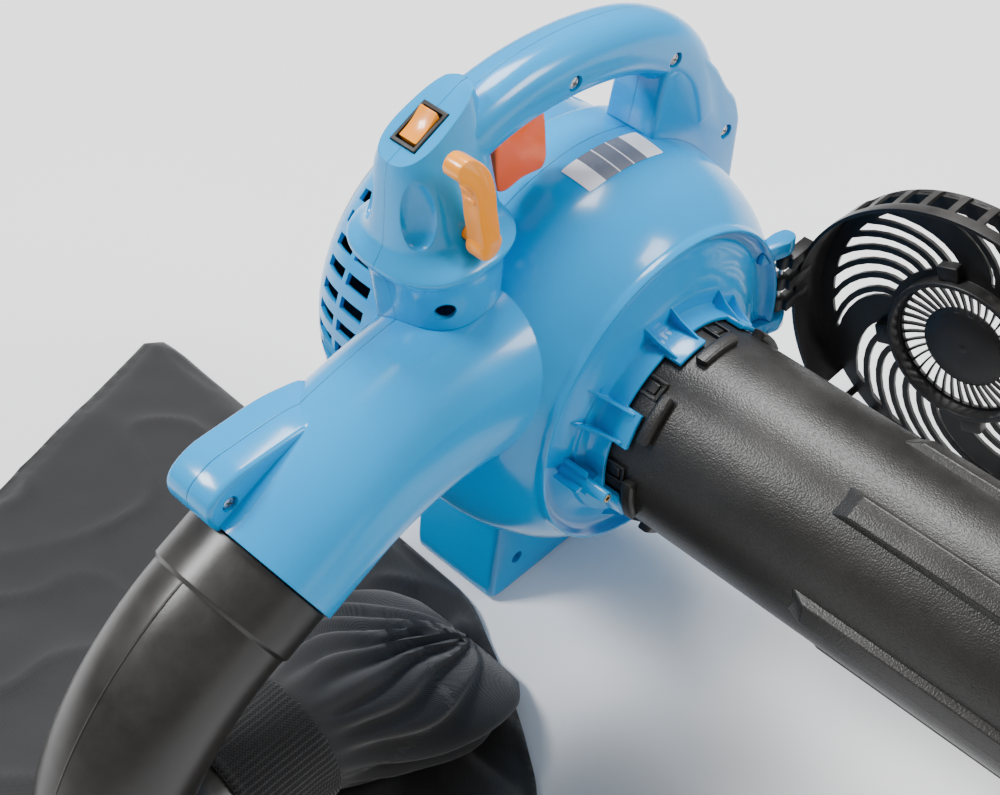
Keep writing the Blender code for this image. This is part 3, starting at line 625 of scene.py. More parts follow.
@dataclass(frozen=True)
class Finish:
    """What a surface is made of.

    Attributes:
        label: The material's name.
        colour: Its linear base colour.
        roughness: Its mean roughness.
    """

    label: str
    colour: Colour
    roughness: float = 0.4

    def material(self) -> bpy.types.Material:
        """Return this finish as a material, made on first use."""
        found = bpy.data.materials.get(self.label)
        if found:
            return found
        mat = bpy.data.materials.new(self.label)
        mat.use_nodes = True
        shader = mat.node_tree.nodes["Principled BSDF"]
        self.dress(Nodes(mat.node_tree), shader)
        return mat

    def dress(self, nodes: Nodes, shader: bpy.types.Node) -> None:
        """Fill the shader's inputs. Each kind of finish does this its own way.

        Args:
            nodes: The material's tree.
            shader: Its Principled BSDF.
        """
        raise NotImplementedError

    @staticmethod
    def place(nodes: Nodes) -> bpy.types.NodeSocket:
        """Return the piece's own coordinates in metres."""
        return nodes.add("ShaderNodeTexCoord").outputs["Object"]

    @staticmethod
    def group(nodes: Nodes, tree: bpy.types.NodeTree,
              inputs: dict[str, object]) -> bpy.types.Node:
        """Place a shared group with this finish's own values and return it.

        Args:
            nodes: The material's tree.
            tree: The shared group.
            inputs: A value or a socket for each of its inputs.

        Returns:
            The placed group node.
        """
        node = nodes.add("ShaderNodeGroup", node_tree=tree)
        for key, value in inputs.items():
            if isinstance(value, bpy.types.NodeSocket):
                nodes.tree.links.new(value, node.inputs[key])
            else:
                node.inputs[key].default_value = value
        return node

    @staticmethod
    def relief(nodes: Nodes, shader: bpy.types.Node, height: object, depth: float,
               strength: float = 1.0, edge: float = 0.0) -> None:
        """Feed a height to the shader's normal.

        Args:
            nodes: The tree.
            shader: The Principled BSDF.
            height: The height over the surface, about 0 to 1.
            depth: How many metres a height of 1 is.
            strength: How much of it is used.
            edge: The radius of the soft highlight along moulded edges, or 0 for none.
        """
        bump = nodes.add("ShaderNodeBump", {"Height": height, "Distance": depth,
                                            "Strength": strength})
        if edge:
            soft = nodes.add("ShaderNodeBevel", {"Radius": edge}, samples=4)
            nodes.tree.links.new(soft.outputs[0], bump.inputs["Normal"])
        nodes.tree.links.new(bump.outputs[0], shader.inputs["Normal"])


@dataclass(frozen=True)
class Moulding(Finish):
    """Injection-moulded plastic, from high gloss to satin.

    Attributes:
        deep: The colour where the moulding looks thicker.
        ripple: How strong the slow waviness of the skin is.
        pores: How strong the fine texture is.
        depth: The height of that relief in metres.
        coat: The weight of a clear gloss on top.
        edge: The radius of the highlight along edges.
        dust: How much dust has settled on it.
        gleam: How much the surface mirrors, with 0.5 for plain plastic.
    """

    deep: Colour = (0.0, 0.0, 0.0)
    ripple: float = 1.0
    pores: float = 0.1
    depth: float = 0.0001
    coat: float = 0.0
    edge: float = 0.0008
    dust: float = 0.15
    gleam: float = 0.4

    def dress(self, nodes: Nodes, shader: bpy.types.Node) -> None:
        """Lay a slow colour shift, dust, scuffs and the moulded skin.

        Args:
            nodes: The material's tree.
            shader: Its Principled BSDF.
        """
        place = self.place(nodes)
        skin = self.group(nodes, moulded_group(), {"Place": place, "Ripple": self.ripple,
                                                   "Pores": self.pores})
        dust = self.group(nodes, dust_group(), {"Place": place, "Amount": self.dust})
        scuff = self.group(nodes, scuff_group(), {"Place": place, "Amount": 0.35})
        colour = nodes.blend(nodes.ramp(skin.outputs["Cloud"], 0.35, 0.7),
                             (*self.deep, 1.0), (*self.colour, 1.0))
        dusty = nodes.blend(dust.outputs["Mask"], colour, (0.42, 0.41, 0.39, 1.0))
        nodes.tree.links.new(dusty, shader.inputs["Base Color"])
        rough = nodes.math("ADD", nodes.ramp(skin.outputs["Cloud"], 0.3, 0.7, self.roughness,
                                             self.roughness * 1.25),
                           nodes.math("MULTIPLY", scuff.outputs["Mask"], 0.18))
        nodes.tree.links.new(rough, shader.inputs["Roughness"])
        shader.inputs["Coat Weight"].default_value = self.coat
        shader.inputs["Coat Roughness"].default_value = 0.06
        shader.inputs["Specular IOR Level"].default_value = self.gleam
        self.relief(nodes, shader, skin.outputs["Height"], self.depth, 0.6, self.edge)


@dataclass(frozen=True)
class LeatherGrain(Finish):
    """Black plastic with a leather grain.

    Attributes:
        scale: How many pebbles fit in a metre.
        depth: The depth of the creases in metres.
    """

    scale: float = 900.0
    depth: float = 0.00010

    def dress(self, nodes: Nodes, shader: bpy.types.Node) -> None:
        """Lay pebbles, with painted shade that darkens the creases between them.

        Args:
            nodes: The material's tree.
            shader: Its Principled BSDF.
        """
        place = self.place(nodes)
        grain = self.group(nodes, leather_group(), {"Place": place, "Scale": self.scale})
        dust = self.group(nodes, dust_group(), {"Place": place, "Amount": 0.10})
        # Painted shade: the creases between the pebbles take a darker copy of the colour.
        crease_shade = tuple(c * 0.72 for c in self.colour)
        colour = nodes.blend(grain.outputs["Crease"], (*self.colour, 1.0), (*crease_shade, 1.0))
        dusty = nodes.blend(dust.outputs["Mask"], colour, (0.30, 0.29, 0.28, 1.0))
        nodes.tree.links.new(dusty, shader.inputs["Base Color"])
        rough = nodes.ramp(grain.outputs["Crease"], 0.0, 1.0, self.roughness,
                           self.roughness + 0.06)
        nodes.tree.links.new(rough, shader.inputs["Roughness"])
        shader.inputs["Specular IOR Level"].default_value = 0.4
        self.relief(nodes, shader, grain.outputs["Height"], self.depth, 1.0)


@dataclass(frozen=True)
class WovenCloth(Finish):
    """Thin woven polyester with a soft sheen.

    Attributes:
        pale: The painted highlight colour on the raised threads, where they would catch light.
        threads: The angular rate of the weave along each direction, per metre of UV.
        depth: The height of the threads in metres.
    """

    pale: Colour = (0.03, 0.03, 0.032)
    threads: float = 5200.0
    depth: float = 0.00025

    def dress(self, nodes: Nodes, shader: bpy.types.Node) -> None:
        """Lay a weave on the UV map with a painted highlight on its raised threads, with slubs and
        faint lint.

        Args:
            nodes: The material's tree.
            shader: Its Principled BSDF.
        """
        flat = nodes.add("ShaderNodeUVMap").outputs[0]
        weave = self.group(nodes, weave_group(), {"Place": flat, "Threads": self.threads})
        slub = nodes.noise(flat, 45.0, 4.0, 0.6)
        lint = nodes.ramp(nodes.noise(flat, 900.0, 1.0), 0.78, 0.85)
        # Painted highlight: the raised threads are blended towards the pale colour.
        thread_highlight = nodes.math("MULTIPLY", weave.outputs["Thread"], nodes.ramp(slub, 0.3, 0.7, 0.6, 1))
        colour = nodes.blend(thread_highlight, (*self.colour, 1.0), (*self.pale, 1.0))
        linted = nodes.blend(nodes.math("MULTIPLY", lint, 0.35), colour, (0.16, 0.16, 0.165, 1.0))
        nodes.tree.links.new(linted, shader.inputs["Base Color"])
        nodes.tree.links.new(nodes.ramp(slub, 0.3, 0.7, self.roughness, self.roughness + 0.08),
                             shader.inputs["Roughness"])
        shader.inputs["Sheen Weight"].default_value = 0.25
        shader.inputs["Sheen Roughness"].default_value = 0.45
        height = nodes.math("ADD", weave.outputs["Height"], nodes.math("MULTIPLY", slub, 0.6))
        self.relief(nodes, shader, height, self.depth, 0.7)


@dataclass(frozen=True)
class BareMetal(Finish):
    """Turned, stamped or drawn metal.

    Attributes:
        streaks: How many tool marks fit in a metre along Y.
        depth: Their depth in metres.
        bands: How much the marks darken the colour.
    """

    streaks: float = 900.0
    depth: float = 0.00004
    bands: float = 0.25

    def dress(self, nodes: Nodes, shader: bpy.types.Node) -> None:
        """Lay tool marks along the turning axis, with a little tarnish.

        Args:
            nodes: The material's tree.
            shader: Its Principled BSDF.
        """
        place = self.place(nodes)
        stretch = nodes.add("ShaderNodeMapping", {"Vector": place,
                                                  "Scale": (0.06, 1.0, 0.06)}).outputs[0]
        marks = nodes.noise(stretch, self.streaks, 3.0, 0.6)
        stain = nodes.noise(place, 70.0, 4.0)
        dark = tuple(c * (1.0 - self.bands) for c in self.colour)
        colour = nodes.blend(nodes.ramp(marks, 0.35, 0.65), (*dark, 1.0), (*self.colour, 1.0))
        nodes.tree.links.new(colour, shader.inputs["Base Color"])
        shader.inputs["Metallic"].default_value = 1.0
        nodes.tree.links.new(nodes.ramp(stain, 0.35, 0.7, self.roughness, self.roughness + 0.18),
                             shader.inputs["Roughness"])
        self.relief(nodes, shader, marks, self.depth, 0.6)


@dataclass(frozen=True)
class Panels(Finish):
    """A printed sticker of plain stripes with no words on it.

    Attributes:
        origin: A corner of the print, in metres.
        along: The direction that the stripes are counted in.
        stripe: The width of one stripe in metres.
    """

    origin: tuple[float, float, float] = (0.0, 0.0, 0.0)
    along: tuple[float, float, float] = (1.0, 0.0, 0.0)
    stripe: float = 0.01

    def dress(self, nodes: Nodes, shader: bpy.types.Node) -> None:
        """Lay grey and white bands with thin white lines between them.

        Args:
            nodes: The material's tree.
            shader: Its Principled BSDF.
        """
        shifted = nodes.add("ShaderNodeVectorMath", {0: self.place(nodes), 1: self.origin},
                            operation="SUBTRACT").outputs[0]
        run = nodes.add("ShaderNodeVectorMath", {0: shifted, 1: self.along},
                        operation="DOT_PRODUCT").outputs["Value"]
        count = nodes.math("DIVIDE", run, self.stripe)
        inside = nodes.math("FRACT", count)
        line = nodes.math("LESS_THAN", inside, 0.08)
        middle = nodes.math("MULTIPLY", nodes.math("GREATER_THAN", count, 1.0),
                            nodes.math("LESS_THAN", count, 4.0))
        grey = nodes.math("MULTIPLY", middle, nodes.math("SUBTRACT", 1.0, line))
        colour = nodes.blend(grey, (0.86, 0.87, 0.88, 1.0), (*self.colour, 1.0))
        wear = nodes.noise(self.place(nodes), 120.0, 3.0)
        worn = nodes.blend(nodes.ramp(wear, 0.6, 0.8, 0.0, 0.15), colour, (0.55, 0.60, 0.64, 1.0))
        nodes.tree.links.new(worn, shader.inputs["Base Color"])
        nodes.tree.links.new(nodes.ramp(wear, 0.3, 0.7, self.roughness, self.roughness + 0.1),
                             shader.inputs["Roughness"])


BLUE = Moulding("blue_gloss", (0.0, 0.32, 0.70), 0.17, deep=(0.0, 0.29, 0.66), ripple=1.0,
                pores=0.05, depth=0.00006, coat=0.15, edge=0.0014, dust=0.01, gleam=0.34)
DUCT_BLACK = Moulding("duct_satin", (0.016, 0.0145, 0.0135), 0.27, deep=(0.012, 0.011, 0.010),
                      ripple=1.6, pores=0.5, depth=0.00016, edge=0.0008, dust=0.10)
PART_BLACK = Moulding("moulded_black", (0.012, 0.011, 0.011), 0.36, deep=(0.009, 0.008, 0.008),
                      ripple=0.8, pores=0.6, depth=0.0001, edge=0.0006, dust=0.12)
TUBE_BLACK = LeatherGrain("tube_leather_grain", (0.014, 0.013, 0.012), 0.36)
LEVER_ORANGE = Moulding("lever_orange", (1.0, 0.34, 0.0), 0.24, deep=(1.0, 0.26, 0.0),
                        ripple=0.8, pores=0.05, depth=0.00005, coat=0.5, edge=0.0007, dust=0.04)
TRIGGER_ORANGE = Moulding("trigger_orange", (1.0, 0.13, 0.0), 0.26, deep=(0.95, 0.10, 0.0),
                          ripple=0.8, pores=0.05, depth=0.00005, coat=0.4, edge=0.0007,
                          dust=0.04)
BAG_CLOTH = WovenCloth("bag_weave", (0.006, 0.006, 0.007), 0.78)
# The cuff's pale colour is the painted highlight on its raised threads.
CUFF_KNIT = WovenCloth("cuff_knit", (0.006, 0.006, 0.006), 0.86, pale=(0.022, 0.021, 0.022),
                       threads=2600.0, depth=0.0005)
STEEL = BareMetal("zinc_plate", (0.66, 0.66, 0.67), 0.25)
FRAME_STEEL = BareMetal("pressed_steel", (0.45, 0.45, 0.46), 0.38, streaks=300.0)
LAMINATIONS = BareMetal("stacked_sheet", (0.30, 0.30, 0.31), 0.45, streaks=2400.0,
                        depth=0.0002, bands=0.55)
COPPER = BareMetal("enamelled_copper", (0.80, 0.36, 0.15), 0.30, streaks=1800.0,
                   depth=0.0002, bands=0.45)
BRASS = BareMetal("turned_brass", (0.83, 0.62, 0.28), 0.25, streaks=1500.0)
ALUMINIUM = BareMetal("die_cast", (0.72, 0.72, 0.73), 0.42, streaks=200.0, depth=0.0001)
BOARD_GREEN = Moulding("solder_mask", (0.02, 0.20, 0.07), 0.35, deep=(0.01, 0.15, 0.05))
CAPACITOR_GOLD = Moulding("dipped_film", (0.75, 0.50, 0.08), 0.3, deep=(0.6, 0.38, 0.05))
CARBON = Moulding("pressed_carbon", (0.03, 0.03, 0.03), 0.55, deep=(0.02, 0.02, 0.02))


# ------------------------------------------------------------------ fan casing


@dataclass
class ClampScrew:
    """A pan head screw along +Y in its counterbore, with a cross recess."""

    name: str
    x: float
    z: float
    head_y: float
    end_y: float
    head_r: float = 0.0042
    bore_r: float = 0.0052

    def pocket(self) -> bpy.types.Object:
        """Return the tool that sinks the counterbore."""
        deep = (self.x, self.head_y + 0.004, self.z)
        return bar(self.bore_r + 0.0004, (self.x, self.head_y - 0.03, self.z), deep, 40,
                   end_radius=self.bore_r)

    def build(self) -> None:
        """Make the screw and put it in place of its CAD node."""
        top = self.head_y + 0.0010
        head = turned([(0.0, top), (self.head_r * 0.55, top + 0.0001),
                       (self.head_r * 0.88, top + 0.0007), (self.head_r, top + 0.0016),
                       (self.head_r, top + 0.0026), (0.0, top + 0.0026)],
                      centre=(self.x, self.z), segments=40)
        for angle in (0.6, 0.6 + math.pi / 2):
            arm = block((-0.0027, -0.0008, -0.00055), (0.0027, 0.0016, 0.00055))
            placed(arm, Matrix.Translation((self.x, top, self.z)) @ Matrix.Rotation(angle, 4, "Y"))
            cut(head, arm)
        stem = bar(0.0019, (self.x, top + 0.0025, self.z), (self.x, self.end_y - 0.002, self.z), 16)
        publish(gather(head, stem), self.name + "_detail", "machine", STEEL,
                [self.name])


OUTLET_SCREW = ClampScrew("outlet_screw", -0.292, 0.3055, -0.019, 0.014)


def neck_direction(tilt: float) -> Vector:
    """Return the direction that points out of the neck at an angle below level."""
    return Vector((-math.cos(tilt), 0.0, -math.sin(tilt)))


def neck_ring(centre: Vector, tilt: float, a: float, b: float | None = None,
              power: float = 2.0) -> Ring:
    """Return a cross-section of the neck or the duct, square to its run.

    Args:
        centre: The middle of the section.
        tilt: How far below level the run points, towards -X, in radians.
        a: Half the width along Y.
        b: Half the height, or the same as the width.
        power: The squareness of the corners.

    Returns:
        The ring.
    """
    along = neck_direction(tilt)
    return Ring(centre, Vector((0, 1, 0)), Vector((along.z, 0, -along.x)), a, b or a, power)


@dataclass
class FanCasing:
    """The two halves of the round fan casing, with the neck, the collar and the foot."""

    shoulder: list[Point] = field(default_factory=lambda: [
        (0.143, -0.006), (0.1427, -0.018), (0.1405, -0.034), (0.1360, -0.0495),
        (0.1295, -0.0645), (0.1215, -0.0765), (0.1155, -0.0835), (0.1148, -0.0850)])
    rim: list[Point] = field(default_factory=lambda: [
        (0.1142, -0.0888), (0.1134, -0.0899), (0.1120, -0.0900), (0.1112, -0.0892),
        (0.1100, -0.0855)])
    dish: list[Point] = field(default_factory=lambda: [
        (0.1075, -0.0828), (0.1030, -0.0820), (0.0970, -0.0842), (0.0900, -0.0885),
        (0.0820, -0.0925), (0.0760, -0.0945)])
    collar_r: float = TUBE_R + 0.0012
    collar_wall: float = 0.0030
    tab_angles: tuple[float, ...] = (97, 147, 197, 247, 297, 347, 47)
    tab_half: float = 9.5
    plain_tabs: tuple[float, ...] = (197,)
    boss: Point = (TUBE_X - 0.0835, FAN_Z - 0.006)
    lug_heights: tuple[float, ...] = (FAN_Z + 0.046, FAN_Z - 0.022)
    foot_half: float = 0.075

    def front_profile(self) -> list[Point]:
        """Return the smooth outside of the casing from its widest part to the dish."""
        return smooth_line(self.shoulder, 4) + self.rim + smooth_line(self.dish, 3)

    def neck_rings(self, inset: float = 0.0) -> list[Ring]:
        """Return the neck's sections from its mouth to inside the casing.

        Args:
            inset: How far inside the outer surface they lie.

        Returns:
            The rings.
        """
        stations = [(NECK_END, 25.0, 0.0530), (Vector((-0.245, NECK_Y, 0.2620)), 23.5, 0.0530),
                    (Vector((-0.210, NECK_Y, 0.2745)), 18.0, 0.0525),
                    (Vector((-0.170, NECK_Y, 0.2825)), 9.0, 0.0530),
                    (Vector((-0.140, NECK_Y, 0.2850)), 4.0, 0.0550),
                    (Vector((-0.110, NECK_Y, 0.2850)), 1.0, 0.0580),
                    (Vector((-0.080, NECK_Y, 0.2840)), 0.0, 0.0600),
                    (Vector((-0.045, NECK_Y, 0.2830)), 0.0, 0.0600)]
        line = smooth_line([(s[0].x, s[0].z, s[1], s[2]) for s in stations], 4)
        rings = [neck_ring(Vector((x, NECK_Y, z)), math.radians(tilt), radius - inset)
                 for x, z, tilt, radius in line]
        if inset:
            mouth = NECK_END + neck_direction(NECK_TILT) * 0.01
            rings.insert(0, neck_ring(mouth, NECK_TILT, NECK_R - inset))
        return rings

    def blank(self) -> bpy.types.Object:
        """Return the full outside of casing, neck and fairing, before it is split."""
        back = [(0.0, BACK_Y), (0.133, BACK_Y), (0.1405, 0.0325), (0.1425, 0.030),
                (VOLUTE_R, 0.027)]
        body = turned(back + self.front_profile() + [(0.0, RIM_Y - 0.0045)])
        return fuse(body, lofted(self.neck_rings()), self.fairing())

    def fairing(self) -> bpy.types.Object:
        """Return the raised housing on top of the outlet."""
        corners = [(-0.293, 0.272), (-0.3085, 0.300), (-0.306, 0.3145), (-0.289, 0.3235),
                   (-0.236, 0.3240), (-0.203, 0.3165), (-0.206, 0.300)]
        return slab(rounded_outline(corners, 0.010), -0.019, 0.020, 0.0035, 3)

    def hollow(self) -> bpy.types.Object:
        """Return the air space inside the casing and the neck."""
        back = [(0.0, BACK_Y - 0.004), (0.131, BACK_Y - 0.004), (0.138, 0.028), (0.140, 0.024)]
        front = [(0.140, -0.006), (0.1385, -0.029), (0.134, -0.0475), (0.1265, -0.063),
                 (0.1165, -0.0755), (0.110, -0.0785), (0.103, -0.0785), (0.094, -0.0815),
                 (0.082, -0.0885), (0.0, -0.0900)]
        return fuse(turned(back + front, segments=MEDIUM), lofted(self.neck_rings(WALL), 48))

    def tabs(self) -> list[bpy.types.Object]:
        """Return the collar's castellations, each with its two gusset ribs."""
        made = []
        r0, r1 = self.collar_r, self.collar_r + self.collar_wall
        for angle in self.tab_angles:
            half = math.radians(self.tab_half)
            arc = [i / 6 * 2 - 1 for i in range(7)]
            outline = [(r1 * math.cos(half * t), r1 * math.sin(half * t)) for t in arc]
            outline += [(r0 * math.cos(half * t), r0 * math.sin(half * t)) for t in reversed(arc)]
            tab = slab(outline, RIM_Y - 0.031, RIM_Y - 0.004, 0.0007)
            place = about_y(math.radians(angle), TUBE_X, TUBE_Z)
            made.append(placed(tab, place))
            for side in () if angle in self.plain_tabs else (-1, 1):
                rib = [(r1 - 0.001, RIM_Y - 0.002), (r1 + 0.0150, RIM_Y + 0.0025),
                       (r1 + 0.0060, RIM_Y - 0.0130), (r1 + 0.0012, RIM_Y - 0.0265),
                       (r1 - 0.001, RIM_Y - 0.0265)]
                bm = bmesh.new()
                face = bm.faces.new([bm.verts.new((r, y, -0.0007)) for r, y in rib])
                grown = bmesh.ops.extrude_face_region(bm, geom=[face])
                moved = [v for v in grown["geom"] if isinstance(v, bmesh.types.BMVert)]
                bmesh.ops.translate(bm, vec=(0, 0, 0.0014), verts=moved)
                offset = Matrix.Rotation(-side * half * 0.82, 4, "Y")
                made.append(placed(shape_object(bm), place @ offset))
        return made

    def collar(self) -> bpy.types.Object:
        """Return the ring that the suction tube plugs into."""
        r0, r1 = self.collar_r, self.collar_r + self.collar_wall
        profile = [(r0, RIM_Y + 0.004), (r0, RIM_Y - 0.0185), (r0 + 0.0006, RIM_Y - 0.0190),
                   (r1 - 0.0006, RIM_Y - 0.0190), (r1, RIM_Y - 0.0185), (r1, RIM_Y - 0.0085),
                   (r1 + 0.0015, RIM_Y - 0.0050), (r1 + 0.0075, RIM_Y - 0.0025),
                   (r1 + 0.0085, RIM_Y + 0.004)]
        return turned(profile, centre=(TUBE_X, TUBE_Z), closed=True)

    def boss_post(self) -> bpy.types.Object:
        """Return the little round boss that carries the brass insert."""
        x, z = self.boss
        post = bar(0.0052, (x, RIM_Y + 0.004, z), (x, RIM_Y - 0.0328, z), 40, end_radius=0.0043,
                   soft=0.0005)
        for turn in (0.0, math.pi / 2):
            web = block((-0.010, RIM_Y - 0.016, -0.0008), (0.010, RIM_Y + 0.003, 0.0008))
            web = placed(web, about_y(turn, x, z))
            gather(post, web)
        return cut(post, bar(0.0031, (x, -0.2, z), (x, RIM_Y - 0.022, z)))

    def hinge_lugs(self) -> list[bpy.types.Object]:
        """Return the two lugs that hold the grille's hinge pin."""
        lugs = []
        for height in self.lug_heights:
            arm = [(0.096, RIM_Y + 0.004), (0.098, RIM_Y + 0.012), (0.118, RIM_Y + 0.0118),
                   (0.1262, RIM_Y + 0.0092), (0.1280, RIM_Y + 0.004), (0.1262, RIM_Y - 0.0010),
                   (0.118, RIM_Y - 0.0025)]
            lug = slab([(x, y) for x, y in rounded_outline(arm, 0.003)], -0.006, 0.006, 0.001)
            stand = Matrix(((1, 0, 0, 0), (0, 0, 1, 0), (0, 1, 0, height), (0, 0, 0, 1)))
            lugs.append(placed(lug, stand))
        return lugs

    def front(self) -> None:
        """Make the intake half with its neck, collar, boss and hinge lugs."""
        shell = self.blank()
        cut(shell, self.hollow(), block((-0.5, -GAP * 0.5, 0.0), (0.5, 0.2, 0.6)))
        bore = bar(self.collar_r, (TUBE_X, -0.2, TUBE_Z), (TUBE_X, RIM_Y + 0.03, TUBE_Z), FINE)
        cut(shell, bore, OUTLET_SCREW.pocket())
        gather(shell, self.collar(), self.boss_post(), *self.tabs(), *self.hinge_lugs())
        publish(shell, "casing_intake_side", "machine", BLUE, ["intake_shell"])

    def foot(self, inset: float = 0.0) -> bpy.types.Object:
        """Return the foot block under the casing, or its hollow.

        Args:
            inset: How far inside the outer skin it lies, or 0 for the skin itself.

        Returns:
            The block.
        """
        half = self.foot_half - inset
        corners = [(-half + 0.003, inset), (half - 0.003, inset), (half, 0.012),
                   (half - 0.005, 0.050), (half - 0.018, 0.125), (-half + 0.018, 0.125),
                   (-half + 0.005, 0.050), (-half, 0.012)]
        y0 = 0.003 if inset else -0.004
        return slab(rounded_outline(corners, 0.018), y0, 0.074 - inset, 0.0 if inset else 0.011, 6)

    def back(self) -> None:
        """Make the motor half with the foot."""
        shell = cut(self.blank(), block((-0.5, -0.2, 0.0), (0.5, GAP * 0.5, 0.6)))
        lip = cut(self.foot(), turned([(0.0, 0.2), (VOLUTE_R + GAP, 0.2), (VOLUTE_R + GAP, -0.05),
                                       (0.0, -0.05)], segments=MEDIUM))
        cut(shell, self.hollow())
        gather(shell, lip)
        cut(shell, bar(0.030, (0, 0.02, FAN_Z), (0, 0.05, FAN_Z), 48))
        cut(shell, bar(0.0056, (-0.046, -0.02, 0.030), (-0.046, 0.010, 0.030), 32,
                       end_radius=0.0045))
        cut(shell, OUTLET_SCREW.pocket())
        publish(shell, "casing_motor_side", "machine", BLUE,
                ["motor_side_shell"])

    def insert(self) -> None:
        """Make the knurled brass insert in its boss."""
        x, z = self.boss
        profile = [(0.0016, RIM_Y - 0.0225), (0.0016, RIM_Y - 0.0330), (0.0028, RIM_Y - 0.0330),
                   (0.0029, RIM_Y - 0.0325), (0.0029, RIM_Y - 0.0225)]
        publish(turned(profile, centre=(x, z), segments=40, closed=True), "brass_insert",
                "machine", BRASS, ["threaded_insert"])

    def sticker(self) -> None:
        """Lay a generic striped sticker on the shoulder of the casing."""
        count_round, count_along = 24, 10
        bm = bmesh.new()
        bmesh.ops.create_grid(bm, x_segments=count_round, y_segments=count_along, size=1.0)
        line = smooth_line(self.shoulder, 8)
        middle, spread = math.radians(83.0), math.radians(14.0)
        for vert in bm.verts:
            u, v = vert.co.x, vert.co.y
            corner = max(0.0, abs(u) - 0.9) * max(0.0, abs(v) - 0.82)
            along = 3.0 + (v * (1.0 - corner * 3.0) + 1.0) * 6.5
            index = int(along)
            share = along - index
            r = line[index][0] * (1 - share) + line[index + 1][0] * share
            y = line[index][1] * (1 - share) + line[index + 1][1] * share
            angle = middle - u * spread
            r += 0.00025
            vert.co = (r * math.cos(angle), y, FAN_Z + r * math.sin(angle))
        bmesh.ops.recalc_face_normals(bm, faces=bm.faces)
        bmesh.ops.solidify(bm, geom=bm.faces[:], thickness=0.00018)
        obj = shape_object(bm)
        origin = (VOLUTE_R * math.cos(middle + spread), -0.02,
                  FAN_Z + VOLUTE_R * math.sin(middle + spread))
        side = Vector((math.sin(middle), 0.0, -math.cos(middle)))
        finish = Panels("striped_sticker", (0.16, 0.17, 0.20), 0.35, origin=origin,
                        along=tuple(side), stripe=0.0131)
        publish(obj, "striped_sticker", "machine", finish)

    def build(self) -> None:
        """Build both halves and what is fixed in them."""
        self.front()
        self.back()
        self.insert()
        self.sticker()
        OUTLET_SCREW.build()


# ------------------------------------------------------------------ motor end


@dataclass
class MotorEnd:
    """The vented motor housing and the cover at its end."""

    slot_count: int = 48
    slot_span: Point = (0.058, 0.106)
    wall: float = 0.003

    def housing(self) -> None:
        """Make the housing: a spun skin with its slots opened, then thickened."""
        line = smooth_line([(0.1335, 0.0346), (0.1335, 0.0500), (0.1322, 0.0720),
                            (0.1275, 0.0930), (0.1195, 0.1085), (0.1120, 0.1178)], 5)
        bm = bmesh.new()
        verts = [bm.verts.new((r, y, FAN_Z)) for r, y in line]
        edges = [bm.edges.new(pair) for pair in zip(verts, verts[1:])]
        steps = self.slot_count * 4
        bmesh.ops.spin(bm, geom=verts + edges, cent=(0, 0, FAN_Z), axis=(0, 1, 0),
                       angle=math.tau, steps=steps, use_merge=True)
        low, high = self.slot_span
        opened = []
        for face in bm.faces:
            centre = face.calc_center_median()
            angle = math.atan2(centre.z - FAN_Z, centre.x) % math.tau
            step = int(angle / math.tau * steps)
            under_foot = 228 < math.degrees(angle) < 312
            bridge = 0.0795 < centre.y < 0.0850
            if step % 4 in (0, 1) and low < centre.y < high and not under_foot and not bridge:
                opened.append(face)
        bmesh.ops.delete(bm, geom=opened, context="FACES")
        bmesh.ops.recalc_face_normals(bm, faces=bm.faces)
        outward = sum(f.normal.dot(f.calc_center_median() - FAN) for f in bm.faces)
        if outward < 0:
            bmesh.ops.reverse_faces(bm, faces=bm.faces)
        bmesh.ops.solidify(bm, geom=bm.faces[:], thickness=self.wall)
        publish(shape_object(bm), "motor_housing_vented", "machine", BLUE,
                ["motor_housing"])

    def cover(self) -> None:
        """Make the domed end cover with its rings of ridges."""
        y = MOTOR_Y + GAP
        outside = [(0.0, y + 0.0200), (0.024, y + 0.0200), (0.026, y + 0.0185),
                   (0.030, y + 0.0185), (0.032, y + 0.0198), (0.066, y + 0.0192),
                   (0.080, y + 0.0172), (0.0815, y + 0.0155), (0.0845, y + 0.0150),
                   (0.0865, y + 0.0155), (0.098, y + 0.0105), (0.106, y + 0.0045),
                   (0.1105, y)]
        inside = [(0.1065, y), (0.104, y + 0.002), (0.092, y + 0.009), (0.069, y + 0.0150),
                  (0.0, y + 0.0160)]
        cover = turned(outside + inside)
        for i in range(20):
            place = about_y(math.tau * (i + 0.5) / 20)
            cut(cover, placed(block((0.040, y + 0.0175, -0.0022), (0.062, y + 0.03, 0.0022)),
                              place))
        publish(cover, "motor_end_cap", "machine", PART_BLACK,
                ["motor_end_cover"])

    def build(self) -> None:
        """Build the housing and its cover."""
        self.housing()
        self.cover()


# ------------------------------------------------------------------ handle

SWITCH_CENTRE = Vector((-0.122, 0.0, 0.4625))
SWITCH_SLOPE = math.radians(23.6)
SWITCH_FRAME = Matrix.Translation(SWITCH_CENTRE) @ Matrix.Rotation(-SWITCH_SLOPE, 4, "Y")


